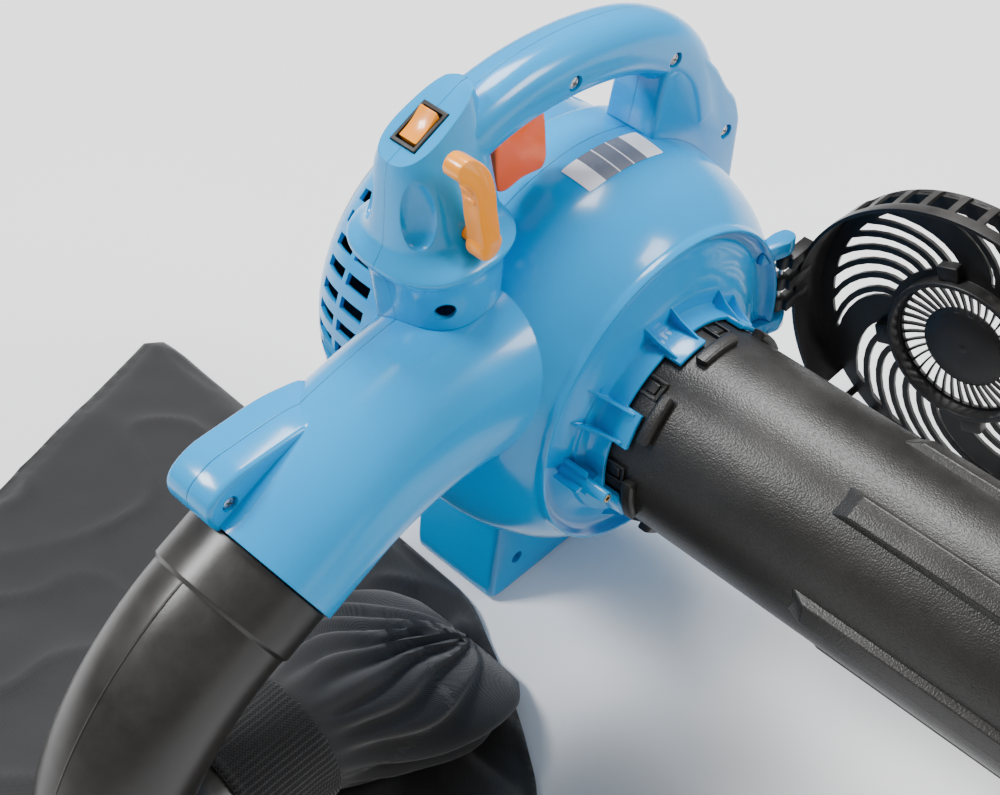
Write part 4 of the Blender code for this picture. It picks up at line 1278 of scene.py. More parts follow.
@dataclass
class Handle:
    """The bow handle: post, grip and rear leg, split along the middle into two halves."""

    grip_r: float = 0.021
    grip_path: list[Point] = field(default_factory=lambda: [
        (-0.112, 0.4300), (-0.100, 0.4385), (-0.085, 0.4460), (-0.050, 0.4510),
        (-0.010, 0.4495), (0.030, 0.4415), (0.060, 0.4290), (0.084, 0.4110),
        (0.100, 0.3880), (0.109, 0.3550)])
    post: list[tuple[float, float, float, float]] = field(default_factory=lambda: [
        (0.286, -0.113, 0.0300, 0.0355), (0.330, -0.113, 0.0335, 0.0370),
        (0.362, -0.114, 0.0365, 0.0385), (0.3745, -0.115, 0.0400, 0.0410),
        (0.3815, -0.116, 0.0445, 0.0445), (0.3855, -0.116, 0.0455, 0.0455),
        (0.3885, -0.116, 0.0440, 0.0425), (0.3945, -0.1150, 0.0405, 0.0350),
        (0.4010, -0.1145, 0.0385, 0.0315), (0.4200, -0.1145, 0.0365, 0.0280),
        (0.4400, -0.1145, 0.0345, 0.0240), (0.4520, -0.1140, 0.0325, 0.0205),
        (0.4640, -0.1130, 0.0300, 0.0170), (0.4760, -0.1120, 0.0270, 0.0140)])
    leg: list[Point] = field(default_factory=lambda: [
        (0.066, 0.412), (0.0590, 0.384), (0.0540, 0.362), (0.050, 0.350), (0.086, 0.300),
        (0.120, 0.270), (0.1455, 0.281), (0.1485, 0.334), (0.1425, 0.352), (0.1315, 0.366),
        (0.1200, 0.386), (0.104, 0.405)])
    screws: tuple[ClampScrew, ...] = (
        ClampScrew("handle_screw_1", -0.019, 0.4475, -0.021, 0.016),
        ClampScrew("handle_screw_2", 0.072, 0.418, -0.021, 0.016),
        ClampScrew("handle_screw_3", 0.133, 0.330, -0.020, 0.016))

    def grip_rings(self, inset: float = 0.0) -> list[Ring]:
        """Return the grip's sections from the post to the leg.

        Args:
            inset: How far inside the outer skin they lie.

        Returns:
            The sections in order.
        """
        line = smooth_line(self.grip_path, 5)
        rings = []
        last = len(line) - 1
        for i, (x, z) in enumerate(line):
            before, after = line[max(i - 1, 0)], line[min(i + 1, last)]
            along = Vector((after[0] - before[0], 0, after[1] - before[1])).normalized()
            up = Vector((-along.z, 0, along.x))
            radius = self.grip_r - inset
            rings.append(Ring(Vector((x, 0, z)), Vector((0, 1, 0)), up, radius, radius, 2.25))
        return rings

    def post_solid(self, inset: float = 0.0) -> bpy.types.Object:
        """Return the front post up to the sloping switch face."""
        rings = [Ring(Vector((x, 0, z)), Vector((1, 0, 0)), Vector((0, 1, 0)), a - inset,
                      b - inset, 2.5) for z, x, a, b in smooth_line(self.post, 4)]
        above = placed(block((-0.12, -0.1, -inset), (0.12, 0.1, 0.1)), SWITCH_FRAME)
        return cut(lofted(rings), above)

    def scoops(self, grow: float = 0.0) -> list[bpy.types.Object]:
        """Return the oval hollows sunk into the post's front corners.

        Args:
            grow: How much bigger each one is on every side.

        Returns:
            One solid for each side.
        """
        made = []
        for side in (-1, 1):
            bm = bmesh.new()
            bmesh.ops.create_uvsphere(bm, u_segments=48, v_segments=32, radius=1.0)
            size = (0.0085 + grow, 0.0130 + grow, 0.0260 + grow)
            bmesh.ops.scale(bm, vec=size, verts=bm.verts)
            turn = Matrix.Rotation(math.radians(48.0 * -side), 4, "Z")
            bm.transform(Matrix.Translation((-0.1455, 0.0215 * side, 0.4270)) @ turn)
            made.append(shape_object(bm))
        return made

    def solid(self) -> bpy.types.Object:
        """Return the whole handle with its hollow, seated on the casing."""
        leg = slab(rounded_outline(self.leg, 0.006), -0.020, 0.020, 0.004, 3)
        shell = fuse(self.post_solid(), lofted(self.grip_rings()), leg)
        hollow = cut(self.post_solid(WALL), *self.scoops(WALL))
        cut(shell, hollow, lofted(self.grip_rings(WALL), 32), *self.scoops())
        seat = fuse(turned([(0.0, BACK_Y + GAP), (0.1335, BACK_Y + GAP), (0.1412, 0.0325),
                            (0.1432, 0.0305), (VOLUTE_R + GAP, 0.027),
                            (VOLUTE_R + GAP, -0.010), (0.1418, -0.030), (0.138, -0.049),
                            (0.130, -0.066), (0.0, -0.090)], segments=MEDIUM),
                    lofted([ring.grown(GAP) for ring in FanCasing().neck_rings()]))
        cut(shell, seat)
        motor = turned([(0.0, 0.1), (0.1340, 0.1), (0.1340, 0.03), (0.0, 0.03)], segments=MEDIUM)
        return cut(shell, motor)

    def build_half(self, name: str, node: str, side: int) -> None:
        """Make one half of the handle.

        Args:
            name: The piece's name.
            node: The CAD node that it stands for.
            side: -1 for the intake side, and 1 for the motor side.
        """
        shell = self.solid()
        low, high = sorted((-side * GAP * 0.6, -side * 0.2))
        cut(shell, block((-0.3, low, 0.2), (0.3, high, 0.6)))
        cut(shell, placed(block((-0.0148, -0.0098, -0.03), (0.0148, 0.0098, 0.02)),
                          SWITCH_FRAME))
        cut(shell, block((-0.0745, -0.0078, 0.38), (-0.0225, 0.0078, 0.4415)))
        if side < 0:
            for screw in self.screws:
                cut(shell, screw.pocket())
            cut(shell, bar(0.0046, (-0.117, -0.06, 0.403), (-0.117, -0.015, 0.403), 32))
            cut(shell, bar(0.0062, (-0.160, -0.055, 0.3560), (-0.127, -0.022, 0.3560), 40))
        else:
            cut(shell, bar(0.0075, (0.110, 0.010, 0.345), (0.110, 0.030, 0.345), 32))
        publish(shell, name, "machine", BLUE, [node])

    def build(self) -> None:
        """Build both halves and the screws that hold them."""
        self.build_half("handle_intake_side", "handle_half_intake", -1)
        self.build_half("handle_motor_side", "handle_half_motor", 1)
        for screw in self.screws:
            screw.build()


@dataclass
class Controls:
    """The trigger, the side lever and the rocker switch."""

    trigger: list[Point] = field(default_factory=lambda: [
        (-0.0705, 0.4320), (-0.0700, 0.4000), (-0.0690, 0.3890), (-0.0620, 0.3855),
        (-0.0480, 0.3880), (-0.0300, 0.3850), (-0.0265, 0.3920), (-0.0285, 0.4200),
        (-0.0310, 0.4365), (-0.0660, 0.4375)])
    lever_path: list[Point] = field(default_factory=lambda: [
        (-0.1345, 0.4660), (-0.1290, 0.4610), (-0.1235, 0.4520), (-0.1205, 0.4400),
        (-0.1195, 0.4270), (-0.1180, 0.4160), (-0.1170, 0.4060)])
    lever_y: Point = (-0.0500, -0.0372)
    lever_half: float = 0.0072

    def build_trigger(self) -> None:
        """Make the trigger with softened corners."""
        piece = slab(rounded_outline(self.trigger, 0.004), -0.0070, 0.0070, 0.0016, 3)
        publish(piece, "trigger_blade", "trigger", TRIGGER_ORANGE,
                ["trigger"])

    def build_lever(self) -> None:
        """Make the S-shaped lever with its two thumb ridges and its round foot."""
        line = smooth_line(self.lever_path, 6)
        outline: list[Point] = []
        last = len(line) - 1
        for side in (1, -1):
            for i, (x, z) in list(enumerate(line))[::side]:
                before, after = line[max(i - 1, 0)], line[min(i + 1, last)]
                along = Vector((after[0] - before[0], after[1] - before[1])).normalized()
                outline.append((x - along.y * self.lever_half * side,
                                z + along.x * self.lever_half * side))
        lead = Vector((line[1][0] - line[0][0], line[1][1] - line[0][1])).normalized()
        for degrees in (30, 60, 90, 120, 150):
            swing = math.radians(degrees)
            out, back = -math.cos(swing) * self.lever_half, -math.sin(swing) * self.lever_half
            outline.append((line[0][0] - lead.y * out + lead.x * back,
                            line[0][1] + lead.x * out + lead.y * back))
        y0, y1 = self.lever_y
        lever = slab(outline, y0, y1, 0.0026, 5)
        foot = bar(0.0092, (-0.117, y0, 0.403), (-0.117, y1, 0.403), 48, soft=0.0022)
        fuse(lever, foot, bar(0.0042, (-0.117, y1 - 0.001, 0.403), (-0.117, -0.0180, 0.403)))
        for share in (0.40, 0.52):
            x, z = line[int(share * last)]
            ridge = bar(0.0014, (x - 0.0070, y0 + 0.0018, z), (x - 0.0070, y1 - 0.0018, z), 16,
                        soft=0.0004)
            fuse(lever, ridge)
        publish(lever, "side_lever_body", "side_lever", LEVER_ORANGE,
                ["side_lever"])

    def build_rocker(self) -> None:
        """Make the rocker and the sunken bezel around it."""
        bezel = block((-0.0145, -0.0095, -0.018), (0.0145, 0.0095, 0.0012), 0.0006)
        cut(bezel, block((-0.0122, -0.0074, -0.014), (0.0122, 0.0074, 0.01)))
        placed(bezel, SWITCH_FRAME)
        publish(bezel, "switch_bezel", "machine", PART_BLACK,
                ["rocker_bezel"])
        top = smooth_line([(-0.0100, 0.0008), (-0.0030, 0.0010), (0.0030, 0.0022),
                           (0.0100, 0.0048)], 5)
        outline = top + [(0.0100, -0.004), (0.004, -0.0105), (-0.004, -0.0105), (-0.0100, -0.004)]
        rocker = placed(slab(outline, -0.0067, 0.0067, 0.0006, 2), SWITCH_FRAME)
        publish(rocker, "rocker_key", "power_rocker", LEVER_ORANGE,
                ["power_rocker"])

    def build(self) -> None:
        """Build the three controls."""
        self.build_trigger()
        self.build_lever()
        self.build_rocker()


# ------------------------------------------------------------------ suction tubes


@dataclass
class SuctionTubes:
    """The ribbed upper tube with its collar lugs, and the lower tube with the bent mouth."""

    wall: float = 0.0025
    start_y: float = RIM_Y + 0.012
    join_y: float = -0.500
    rib_angles: tuple[float, ...] = (58, 118, 178, 238, 298, 358)
    lug_angles: tuple[float, ...] = (86, 136, 186, 236, 286, 336, 36)
    bend: float = math.radians(38)
    bend_y: float = -0.660
    bend_r: float = 0.150

    def ring(self, radius: float, y: float, z: float = TUBE_Z, tilt: float = 0.0) -> Ring:
        """Return a section of the tube, tilted about X by an angle."""
        up = Vector((0, math.sin(tilt), math.cos(tilt)))
        return Ring(Vector((TUBE_X, y, z)), Vector((1, 0, 0)), up, radius, radius)

    def rib(self, angle: float) -> bpy.types.Object:
        """Return one raised long rib with sloping ends and sides.

        Args:
            angle: Its place round the tube in degrees.

        Returns:
            The rib.
        """
        foot, top = TUBE_R - 0.0010, TUBE_R + 0.0045
        bm = bmesh.new()
        corners = [(foot, -0.250), (top, -0.262), (top, -0.474), (foot, -0.486)]
        rows = []
        for half_low, half_high in ((-0.0100, -0.0080), (0.0100, 0.0080)):
            row = []
            for r, y in corners:
                half = half_high if r == top else half_low
                row.append(bm.verts.new((r, y, half)))
            rows.append(row)
        bmesh.ops.convex_hull(bm, input=rows[0] + rows[1])
        bmesh.ops.dissolve_limit(bm, angle_limit=0.01, verts=bm.verts, edges=bm.edges)
        edges = [e for e in bm.edges if max(v.co.x for v in e.verts) > top - 1e-5]
        bmesh.ops.bevel(bm, geom=edges, offset=0.0014, segments=3, profile=0.5, affect="EDGES",
                        clamp_overlap=True, material=-1)
        return placed(shape_object(bm), about_y(math.radians(angle), TUBE_X, TUBE_Z))

    def lug(self, angle: float) -> list[bpy.types.Object]:
        """Return a bayonet lug: a stout bar round the tube, and a framed catch beside it.

        Args:
            angle: The bar's place round the tube in degrees.

        Returns:
            The lug's pieces.
        """
        place = about_y(math.radians(angle), TUBE_X, TUBE_Z)
        beside = about_y(math.radians(angle - 13.0), TUBE_X, TUBE_Z)
        low, high = TUBE_R - 0.001, TUBE_R + 0.0052
        sweep = [math.radians(13.0) * i / 5 for i in range(-5, 6)]
        outline = [(high * math.cos(a), high * math.sin(a)) for a in sweep]
        outline += [(low * math.cos(a), low * math.sin(a)) for a in reversed(sweep)]
        stout = placed(slab(outline, RIM_Y - 0.0430, RIM_Y - 0.0340, 0.0022, 4), place)
        arms = [block((low, RIM_Y - 0.0330, side * 0.0058 - 0.0010),
                      (high - 0.0030, RIM_Y - 0.0200, side * 0.0058 + 0.0010), 0.0005)
                for side in (-1, 1)]
        arms.append(block((low, RIM_Y - 0.0330, -0.0066), (high - 0.0030, RIM_Y - 0.0312, 0.0066),
                          0.0005))
        arms.append(block((low, RIM_Y - 0.0290, -0.0036), (high - 0.0036, RIM_Y - 0.0220, 0.0036),
                          0.0008))
        return [stout] + [placed(arm, beside) for arm in arms]

    def upper(self) -> None:
        """Make the upper tube."""
        ys = [self.start_y, self.start_y - 0.001, self.join_y + 0.001, self.join_y]
        outer = [self.ring(TUBE_R - (0.0008 if i in (0, 3) else 0.0), y)
                 for i, y in enumerate(ys)]
        inner = [self.ring(TUBE_R - self.wall, y) for y in (ys[0], ys[3])]
        tube = piped(outer, inner, 96)
        parts = [self.rib(angle) for angle in self.rib_angles]
        for angle in self.lug_angles:
            parts += self.lug(angle)
        gather(tube, *parts)
        publish(tube, "suction_tube_upper", "machine", TUBE_BLACK,
                ["upper_tube"])

    def lower(self) -> None:
        """Make the lower tube, bent down to the ground."""
        radius = TUBE_R - 0.0030
        stations = [(-0.455, TUBE_Z, 0.0), (self.bend_y, TUBE_Z, 0.0)]
        steps = 14
        for i in range(1, steps + 1):
            a = self.bend * i / steps
            stations.append((self.bend_y - self.bend_r * math.sin(a),
                             TUBE_Z - self.bend_r * (1 - math.cos(a)), a))
        y, z, a = stations[-1]
        length = (z - radius * math.cos(a)) / math.sin(a)
        for share in (0.93, 1.0):
            stations.append((y - length * share * math.cos(a), z - length * share * math.sin(a),
                             a))
        outer = [self.ring(radius, y, z, -a) for y, z, a in stations]
        inner = [self.ring(radius - self.wall, y, z, -a) for y, z, a in stations]
        tube = piped(outer, inner, 96)
        publish(tube, "suction_tube_lower", "machine", TUBE_BLACK,
                ["lower_tube"])

    def build(self) -> None:
        """Build both tubes."""
        self.upper()
        self.lower()


# ------------------------------------------------------------------ grille


@dataclass
class IntakeGrille:
    """The round basket grille, swung open on its upright pin."""

    hinge: Point = (0.121, -0.086)
    opening: float = math.radians(92)
    radius: float = 0.1165
    rim_y: float = RIM_Y - 0.009
    depth: float = 0.0340
    slats: int = 40
    disc_span: Point = (0.0292, 0.0475)
    outer_span: Point = (0.0590, 0.1030)
    twist: float = math.radians(24)

    def face(self) -> bpy.types.Object:
        """Return the pierced face: a slotted disc in a ring, and curved slats round it."""
        radii = [0.0020, 0.0100, 0.0255, *[self.disc_span[0] + i * 0.0040 for i in range(5)]]
        radii += [self.disc_span[1], 0.0500, 0.0540]
        low, high = self.outer_span
        radii += [low + (high - low) * i / 7 for i in range(8)] + [self.radius - 0.0035]
        sectors = self.slats * 4
        bm = bmesh.new()
        verts = [bm.verts.new((r, 0.0, 0.0)) for r in radii]
        edges = [bm.edges.new(pair) for pair in zip(verts, verts[1:])]
        bmesh.ops.spin(bm, geom=verts + edges, cent=(0, 0, 0), axis=(0, 1, 0), angle=math.tau,
                       steps=sectors, use_merge=True)
        holes = [e for e in bm.edges if e.is_boundary and e.verts[0].co.length < 0.003]
        bmesh.ops.holes_fill(bm, edges=holes, sides=sectors)
        gone = []
        for item in bm.faces:
            centre = item.calc_center_median()
            r = math.hypot(centre.x, centre.z)
            step = int(math.atan2(centre.z, centre.x) % math.tau / math.tau * sectors)
            in_disc = self.disc_span[0] < r < self.disc_span[1] and step % 4 in (0, 1, 2)
            solid_arm = step % (sectors // 4) < 7
            in_outer = low < r < high and step % 5 in (0, 1, 2) and not solid_arm
            if in_disc or in_outer:
                gone.append(item)
        bmesh.ops.delete(bm, geom=gone, context="FACES")
        for vert in bm.verts:
            r = math.hypot(vert.co.x, vert.co.z)
            outer = min(max((r - low) / (high - low), 0.0), 1.0)
            inner = min(max((r - 0.028) / 0.019, 0.0), 1.0)
            turn = self.twist * (0.35 * inner + 1.35 * outer ** 1.4)
            vert.co.rotate(Matrix.Rotation(turn, 3, "Y"))
            vert.co.y = -0.0305 + (0.0022 if r < 0.0265 else 0.0)
        bmesh.ops.recalc_face_normals(bm, faces=bm.faces)
        bmesh.ops.solidify(bm, geom=bm.faces[:], thickness=0.0026)
        ring = turned([(0.0500, -0.0300), (0.0500, -0.0190), (0.0506, -0.0184),
                       (0.0530, -0.0184), (0.0536, -0.0190), (0.0540, -0.0300)],
                      (0.0, 0.0), closed=True)
        return gather(shape_object(bm), ring)

    def wall_ring(self) -> bpy.types.Object:
        """Return the basket's side wall with its rectangular slots and rounded lip."""
        profile = [(self.radius + 0.0012, 0.0), (self.radius + 0.0012, -0.006),
                   (self.radius, -0.010), (self.radius, -0.018), (self.radius - 0.0004, -0.027),
                   (self.radius - 0.0020, -0.0320), (self.radius - 0.0060, -0.0340),
                   (self.radius - 0.0105, -0.0340)]
        bm = bmesh.new()
        verts = [bm.verts.new((r, y, 0.0)) for r, y in profile]
        edges = [bm.edges.new(pair) for pair in zip(verts, verts[1:])]
        steps = 144
        bmesh.ops.spin(bm, geom=verts + edges, cent=(0, 0, 0), axis=(0, 1, 0), angle=math.tau,
                       steps=steps, use_merge=True)
        gone = []
        for item in bm.faces:
            centre = item.calc_center_median()
            degrees = math.degrees(math.atan2(centre.z, centre.x)) % 360
            step = int(degrees / 360 * steps)
            if -0.030 < centre.y < -0.009 and step % 4 < 3 and 40 < degrees < 320:
                gone.append(item)
        bmesh.ops.delete(bm, geom=gone, context="FACES")
        bmesh.ops.recalc_face_normals(bm, faces=bm.faces)
        if sum(f.normal.dot(Vector((f.calc_center_median().x, 0, f.calc_center_median().z)))
               for f in bm.faces) < 0:
            bmesh.ops.reverse_faces(bm, faces=bm.faces)
        bmesh.ops.solidify(bm, geom=bm.faces[:], thickness=0.0024)
        return shape_object(bm)

    def fittings(self) -> list[bpy.types.Object]:
        """Return the hinge knuckles, the latch, the hub pin and the struts behind the face."""
        made = []
        offset = self.hinge[1] - self.rim_y
        for z in (0.031, 0.012, -0.007):
            x = self.hinge[0]
            knuckle = bar(0.0046, (x, offset, z - 0.0055), (x, offset, z + 0.0055), 32,
                          soft=0.0006)
            arm = block((self.radius - 0.004, -0.012, z - 0.0045), (x + 0.001, offset, z + 0.0045),
                        0.0008)
            made += [knuckle, arm]
        latch = block((-self.radius - 0.008, -0.030, -0.012), (-self.radius + 0.003, 0.004, 0.012),
                      0.0015)
        made.append(latch)
        made.append(bar(0.0032, (0, -0.0290, 0), (0, -0.0255, 0), 32, soft=0.0008))
        for i in range(16):
            place = Matrix.Rotation(math.tau * i / 16, 4, "Y")
            made.append(placed(block((0.0240, -0.0300, -0.0022), (0.0275, -0.0262, 0.0022),
                                     0.0005), place))
        for i in range(4):
            place = Matrix.Rotation(math.tau * i / 4 + 0.35, 4, "Y")
            made.append(placed(block((0.0535, -0.0300, -0.0075), (0.0650, -0.0210, 0.0075),
                                     0.0012), place))
        return made

    def build(self) -> None:
        """Build the grille closed, then swing it open about its pin."""
        basket = gather(self.face(), self.wall_ring(), *self.fittings())
        placed(basket, Matrix.Translation((0, self.rim_y, FAN_Z)))
        pin = Vector((self.hinge[0], self.hinge[1], FAN_Z))
        placed(basket, Matrix.Translation(pin) @ Matrix.Rotation(self.opening, 4, "Z")
               @ Matrix.Translation(-pin))
        publish(basket, "grille_basket", "intake_grille", PART_BLACK,
                ["intake_grille"])


# ------------------------------------------------------------------ outlet duct


@dataclass
class OutletDuct:
    """The blow-moulded duct that turns from the outlet down and back into the bag."""

    radius: float = 0.0485
    tip_radius: float = 0.0425
    wall: float = 0.0022
    straight: float = 0.0353
    turns: tuple[tuple[float, float, int], ...] = (
        (math.radians(35), 0.200, 12), (math.radians(120), 0.058, 26))
    tail: float = 0.060

    def stations(self) -> list[tuple[Vector, float, float]]:
        """Return the centre, the tilt and the outside radius along the duct."""
        down = neck_direction(NECK_TILT)
        full, slim = self.radius + 0.001, self.radius - 0.001
        spigot = self.radius - 0.0015
        made = [(NECK_END - down * 0.022, NECK_TILT, spigot),
                (NECK_END + down * 0.0003, NECK_TILT, spigot),
                (NECK_END + down * 0.0006, NECK_TILT, full - 0.0006),
                (NECK_END + down * 0.0014, NECK_TILT, full),
                (NECK_END + down * (self.straight - 0.0016), NECK_TILT, full),
                (NECK_END + down * (self.straight - 0.0004), NECK_TILT, full - 0.0008),
                (NECK_END + down * (self.straight + 0.0010), NECK_TILT, slim)]
        point, tilt = NECK_END + down * (self.straight + 0.001), NECK_TILT
        total = sum(turn for turn, _, _ in self.turns)
        for turn, radius, steps in self.turns:
            for _ in range(steps):
                after = tilt + turn / steps
                point = point + radius * Vector((math.sin(tilt) - math.sin(after), 0.0,
                                                 math.cos(after) - math.cos(tilt)))
                tilt = after
                share = (tilt - NECK_TILT) / total
                made.append((point, tilt, slim + (self.tip_radius - slim) * share))
        made.append((point + Vector((self.tail, 0, 0)), tilt, self.tip_radius))
        return made

    def seam(self, side: int) -> bpy.types.Object:
        """Return the thin moulding line along the outer or inner side of the bend.

        Args:
            side: 1 for the outer side of the bend, and -1 for the inner.

        Returns:
            The line as a thin solid.
        """
        rings = []
        for point, tilt, radius in self.stations()[6:]:
            out = Vector((neck_direction(tilt).z, 0, -neck_direction(tilt).x)) * side
            rings.append(Ring(point + out * (radius - 0.0001), Vector((0, 1, 0)), out,
                              0.0007, 0.0006))
        return lofted(rings, 8)

    def build(self) -> None:
        """Build the duct."""
        stations = self.stations()
        outer = [neck_ring(p, t, r) for p, t, r in stations]
        inner = [neck_ring(p, t, min(r, self.radius - 0.0015) - self.wall)
                 for p, t, r in stations]
        duct = piped(outer, inner, 96)
        gather(duct, self.seam(1), self.seam(-1))
        publish(duct, "outlet_duct_bend", "machine", DUCT_BLACK, ["elbow_duct"])


# ------------------------------------------------------------------ bag


@dataclass
class DebrisBag:
    """The flat debris bag with its gathered throat, and the knitted cuff on the duct."""

    duct: OutletDuct = field(default_factory=OutletDuct)
    corners: list[Point] = field(default_factory=lambda: [
        (-0.082, 0.010), (-0.076, 0.150), (-0.070, 0.385), (-0.085, 0.396), (-0.270, 0.342),
        (-0.480, 0.285), (-0.520, 0.250), (-0.545, -0.060), (-0.530, -0.150),
        (-0.480, -0.180), (-0.215, -0.180), (-0.165, -0.140), (-0.120, -0.070)])
    cell: float = 0.0042
    cuff_length: float = 0.068
    throat_length: float = 0.158
    folds: int = 17

    def mouth(self) -> Vector:
        """Return where the bag's mouth sits on the duct's end."""
        point, _, _ = self.duct.stations()[-1]
        return Vector((point.x + 0.018, NECK_Y, point.z))

    def fold_height(self, x: float, y: float) -> float:
        """Return how high the slack cloth lies at a place on the ground.

        Args:
            x: The place's X.
            y: The place's Y.

        Returns:
            The height of the top layer.
        """
        mouth = self.mouth()
        run = Vector((x - mouth.x - 0.10, y - mouth.y))
        reach = run.length
        angle = math.atan2(run.y, run.x)
        swing = noise.noise(Vector((x * 5.0, y * 5.0, 1.7))) * 1.6
        spoke = math.sin(angle * self.folds * 0.5 + swing * 2.4)
        near = math.exp(-max(reach - 0.05, 0.0) / 0.14)
        spokes = max(spoke, -0.4) * 0.010 * near * min(reach / 0.05, 1.0)
        broad = noise.noise(Vector((x * 7.0, y * 4.5, 0.3))) * 0.0070
        ridge = 1.0 - abs(noise.noise(Vector((x * 11.0 + y * 5.0, y * 9.0 - x * 4.0, 5.1)))) * 2.4
        ridges = max(ridge, 0.0) ** 3 * 0.0050
        crumple = noise.noise(Vector((x * 38.0, y * 30.0, 9.0))) * 0.0010
        return 0.0085 + spokes + broad + ridges + crumple

    def border_distance(self, x: float, y: float) -> float:
        """Return how far a place is inside the bag's edge.

        Args:
            x: The place's X.
            y: The place's Y.

        Returns:
            The distance to the nearest edge.
        """
        nearest = 1.0
        count = len(self.corners)
        for i, (ax, ay) in enumerate(self.corners):
            bx, by = self.corners[(i + 1) % count]
            along = Vector((bx - ax, by - ay))
            share = ((x - ax) * along.x + (y - ay) * along.y) / along.length_squared
            share = min(max(share, 0.0), 1.0)
            gap = math.hypot(x - ax - along.x * share, y - ay - along.y * share)
            nearest = min(nearest, gap)
        return nearest

    def lying_cloth(self) -> bpy.types.Object:
        """Return the two flat layers of the bag, wrinkled and sewn along the edge."""
        bm = bmesh.new()
        corners = rounded_outline(self.corners, 0.02, 5)
        xs, ys = [p[0] for p in corners], [p[1] for p in corners]
        low = Vector((min(xs), min(ys), 0.0))
        high = Vector((max(xs), max(ys), 0.0))
        count_x = int((high.x - low.x) / self.cell)
        count_y = int((high.y - low.y) / self.cell)
        bmesh.ops.create_grid(bm, x_segments=count_x, y_segments=count_y, size=0.5)
        for vert in bm.verts:
            vert.co = Vector((low.x + (vert.co.x + 0.5) * (high.x - low.x),
                              low.y + (vert.co.y + 0.5) * (high.y - low.y), 0.0))
        middle = (low + high) / 2
        for i, (ax, ay) in enumerate(self.hull()):
            bx, by = self.hull()[(i + 1) % len(self.hull())]
            normal = Vector((by - ay, ax - bx, 0.0)).normalized()
            if normal.dot(middle - Vector((ax, ay, 0.0))) > 0:
                normal.negate()
            bmesh.ops.bisect_plane(bm, geom=bm.verts[:] + bm.edges[:] + bm.faces[:],
                                   plane_co=(ax, ay, 0.0), plane_no=normal, clear_outer=True)
        layer = bm.loops.layers.uv.new("UVMap")
        for item in bm.faces:
            for loop in item.loops:
                loop[layer].uv = (loop.vert.co.x, loop.vert.co.y)
        grown = bmesh.ops.extrude_face_region(bm, geom=bm.faces[:])
        top = {v for v in grown["geom"] if isinstance(v, bmesh.types.BMVert)}
        for vert in bm.verts:
            x, y = vert.co.x, vert.co.y
            edge = self.border_distance(x, y)
            hem = min(edge / 0.022, 1.0)
            rise = self.fold_height(x, y) * (0.25 + 0.75 * hem * (2 - hem))
            stitch = 0.0012 if 0.007 < edge < 0.010 else 0.0
            if vert in top:
                vert.co.z = max(rise - stitch, 0.0020) + 0.0010
            else:
                vert.co.z = max(rise * 0.25 - 0.0025, 0.0) + 0.0004
        return shape_object(bm)

    def hull(self) -> list[Point]:
        """Return the outline's corners without the dents, in order."""
        points = rounded_outline(self.corners, 0.02, 5)
        kept: list[Point] = []
        start = min(range(len(points)), key=lambda i: points[i])
        ordered = points[start:] + points[:start]
        sign = self.winding(ordered)
        for point in ordered + ordered[:1]:
            while len(kept) > 1 and self.turn(kept[-2], kept[-1], point) * sign <= 1e-9:
                kept.pop()
            kept.append(point)
        return kept[:-1]

    @staticmethod
    def turn(a: Point, b: Point, c: Point) -> float:
        """Return which way the path a, b, c turns: above 0 for left."""
        return (b[0] - a[0]) * (c[1] - a[1]) - (b[1] - a[1]) * (c[0] - a[0])

    @staticmethod
    def winding(points: Sequence[Point]) -> float:
        """Return 1 for a left-handed outline and -1 for a right-handed one."""
        area = sum(a[0] * b[1] - b[0] * a[1] for a, b in zip(points, [*points[1:], points[0]]))
        return math.copysign(1.0, area)

    def throat(self) -> bpy.types.Object:
        """Return the gathered sleeve that widens from the cuff into the flat bag."""
        mouth = self.mouth()
        stations = [(-0.004, 0.0455, 0.0455, mouth.z), (0.0, 0.0470, 0.0470, mouth.z),
                    (0.020, 0.0540, 0.0470, 0.0580), (0.045, 0.0640, 0.0450, 0.0520),
                    (0.070, 0.0730, 0.0390, 0.0440), (0.095, 0.0780, 0.0310, 0.0350),
                    (0.120, 0.0770, 0.0220, 0.0260), (0.142, 0.0690, 0.0140, 0.0170),
                    (0.158, 0.0540, 0.0060, 0.0085)]
        line = smooth_line(stations, 6)
        rings = [Ring(Vector((mouth.x + dx, NECK_Y, z)), Vector((0, 1, 0)), Vector((0, 0, 1)),
                      a, b) for dx, a, b, z in line]
        sleeve = lofted(rings, 160)
        mesh = sleeve.data
        layer = mesh.uv_layers.new(name="UVMap")
        for loop in mesh.loops:
            co = mesh.vertices[loop.vertex_index].co
            around = math.atan2(co.z - mouth.z, co.y - NECK_Y)
            layer.data[loop.index].uv = (co.x, around * 0.06)
        for vert in mesh.vertices:
            run = (vert.co.x - mouth.x) / self.throat_length
            around = math.atan2(vert.co.z - mouth.z * (1 - 0.8 * run), vert.co.y - NECK_Y)
            swing = noise.noise(Vector((vert.co.x * 16, around * 1.2, 3.0)))
            fold = math.sin(around * self.folds + swing * 3.0)
            deep = 0.0050 * min(max(run * 5.0, 0.12), 1.0) * max(1.0 - max(run - 0.7, 0) * 2, 0)
            away = Vector((0.0, math.cos(around), math.sin(around)))
            vert.co += away * fold * deep
            vert.co.z = max(vert.co.z, 0.0012)
        return sleeve

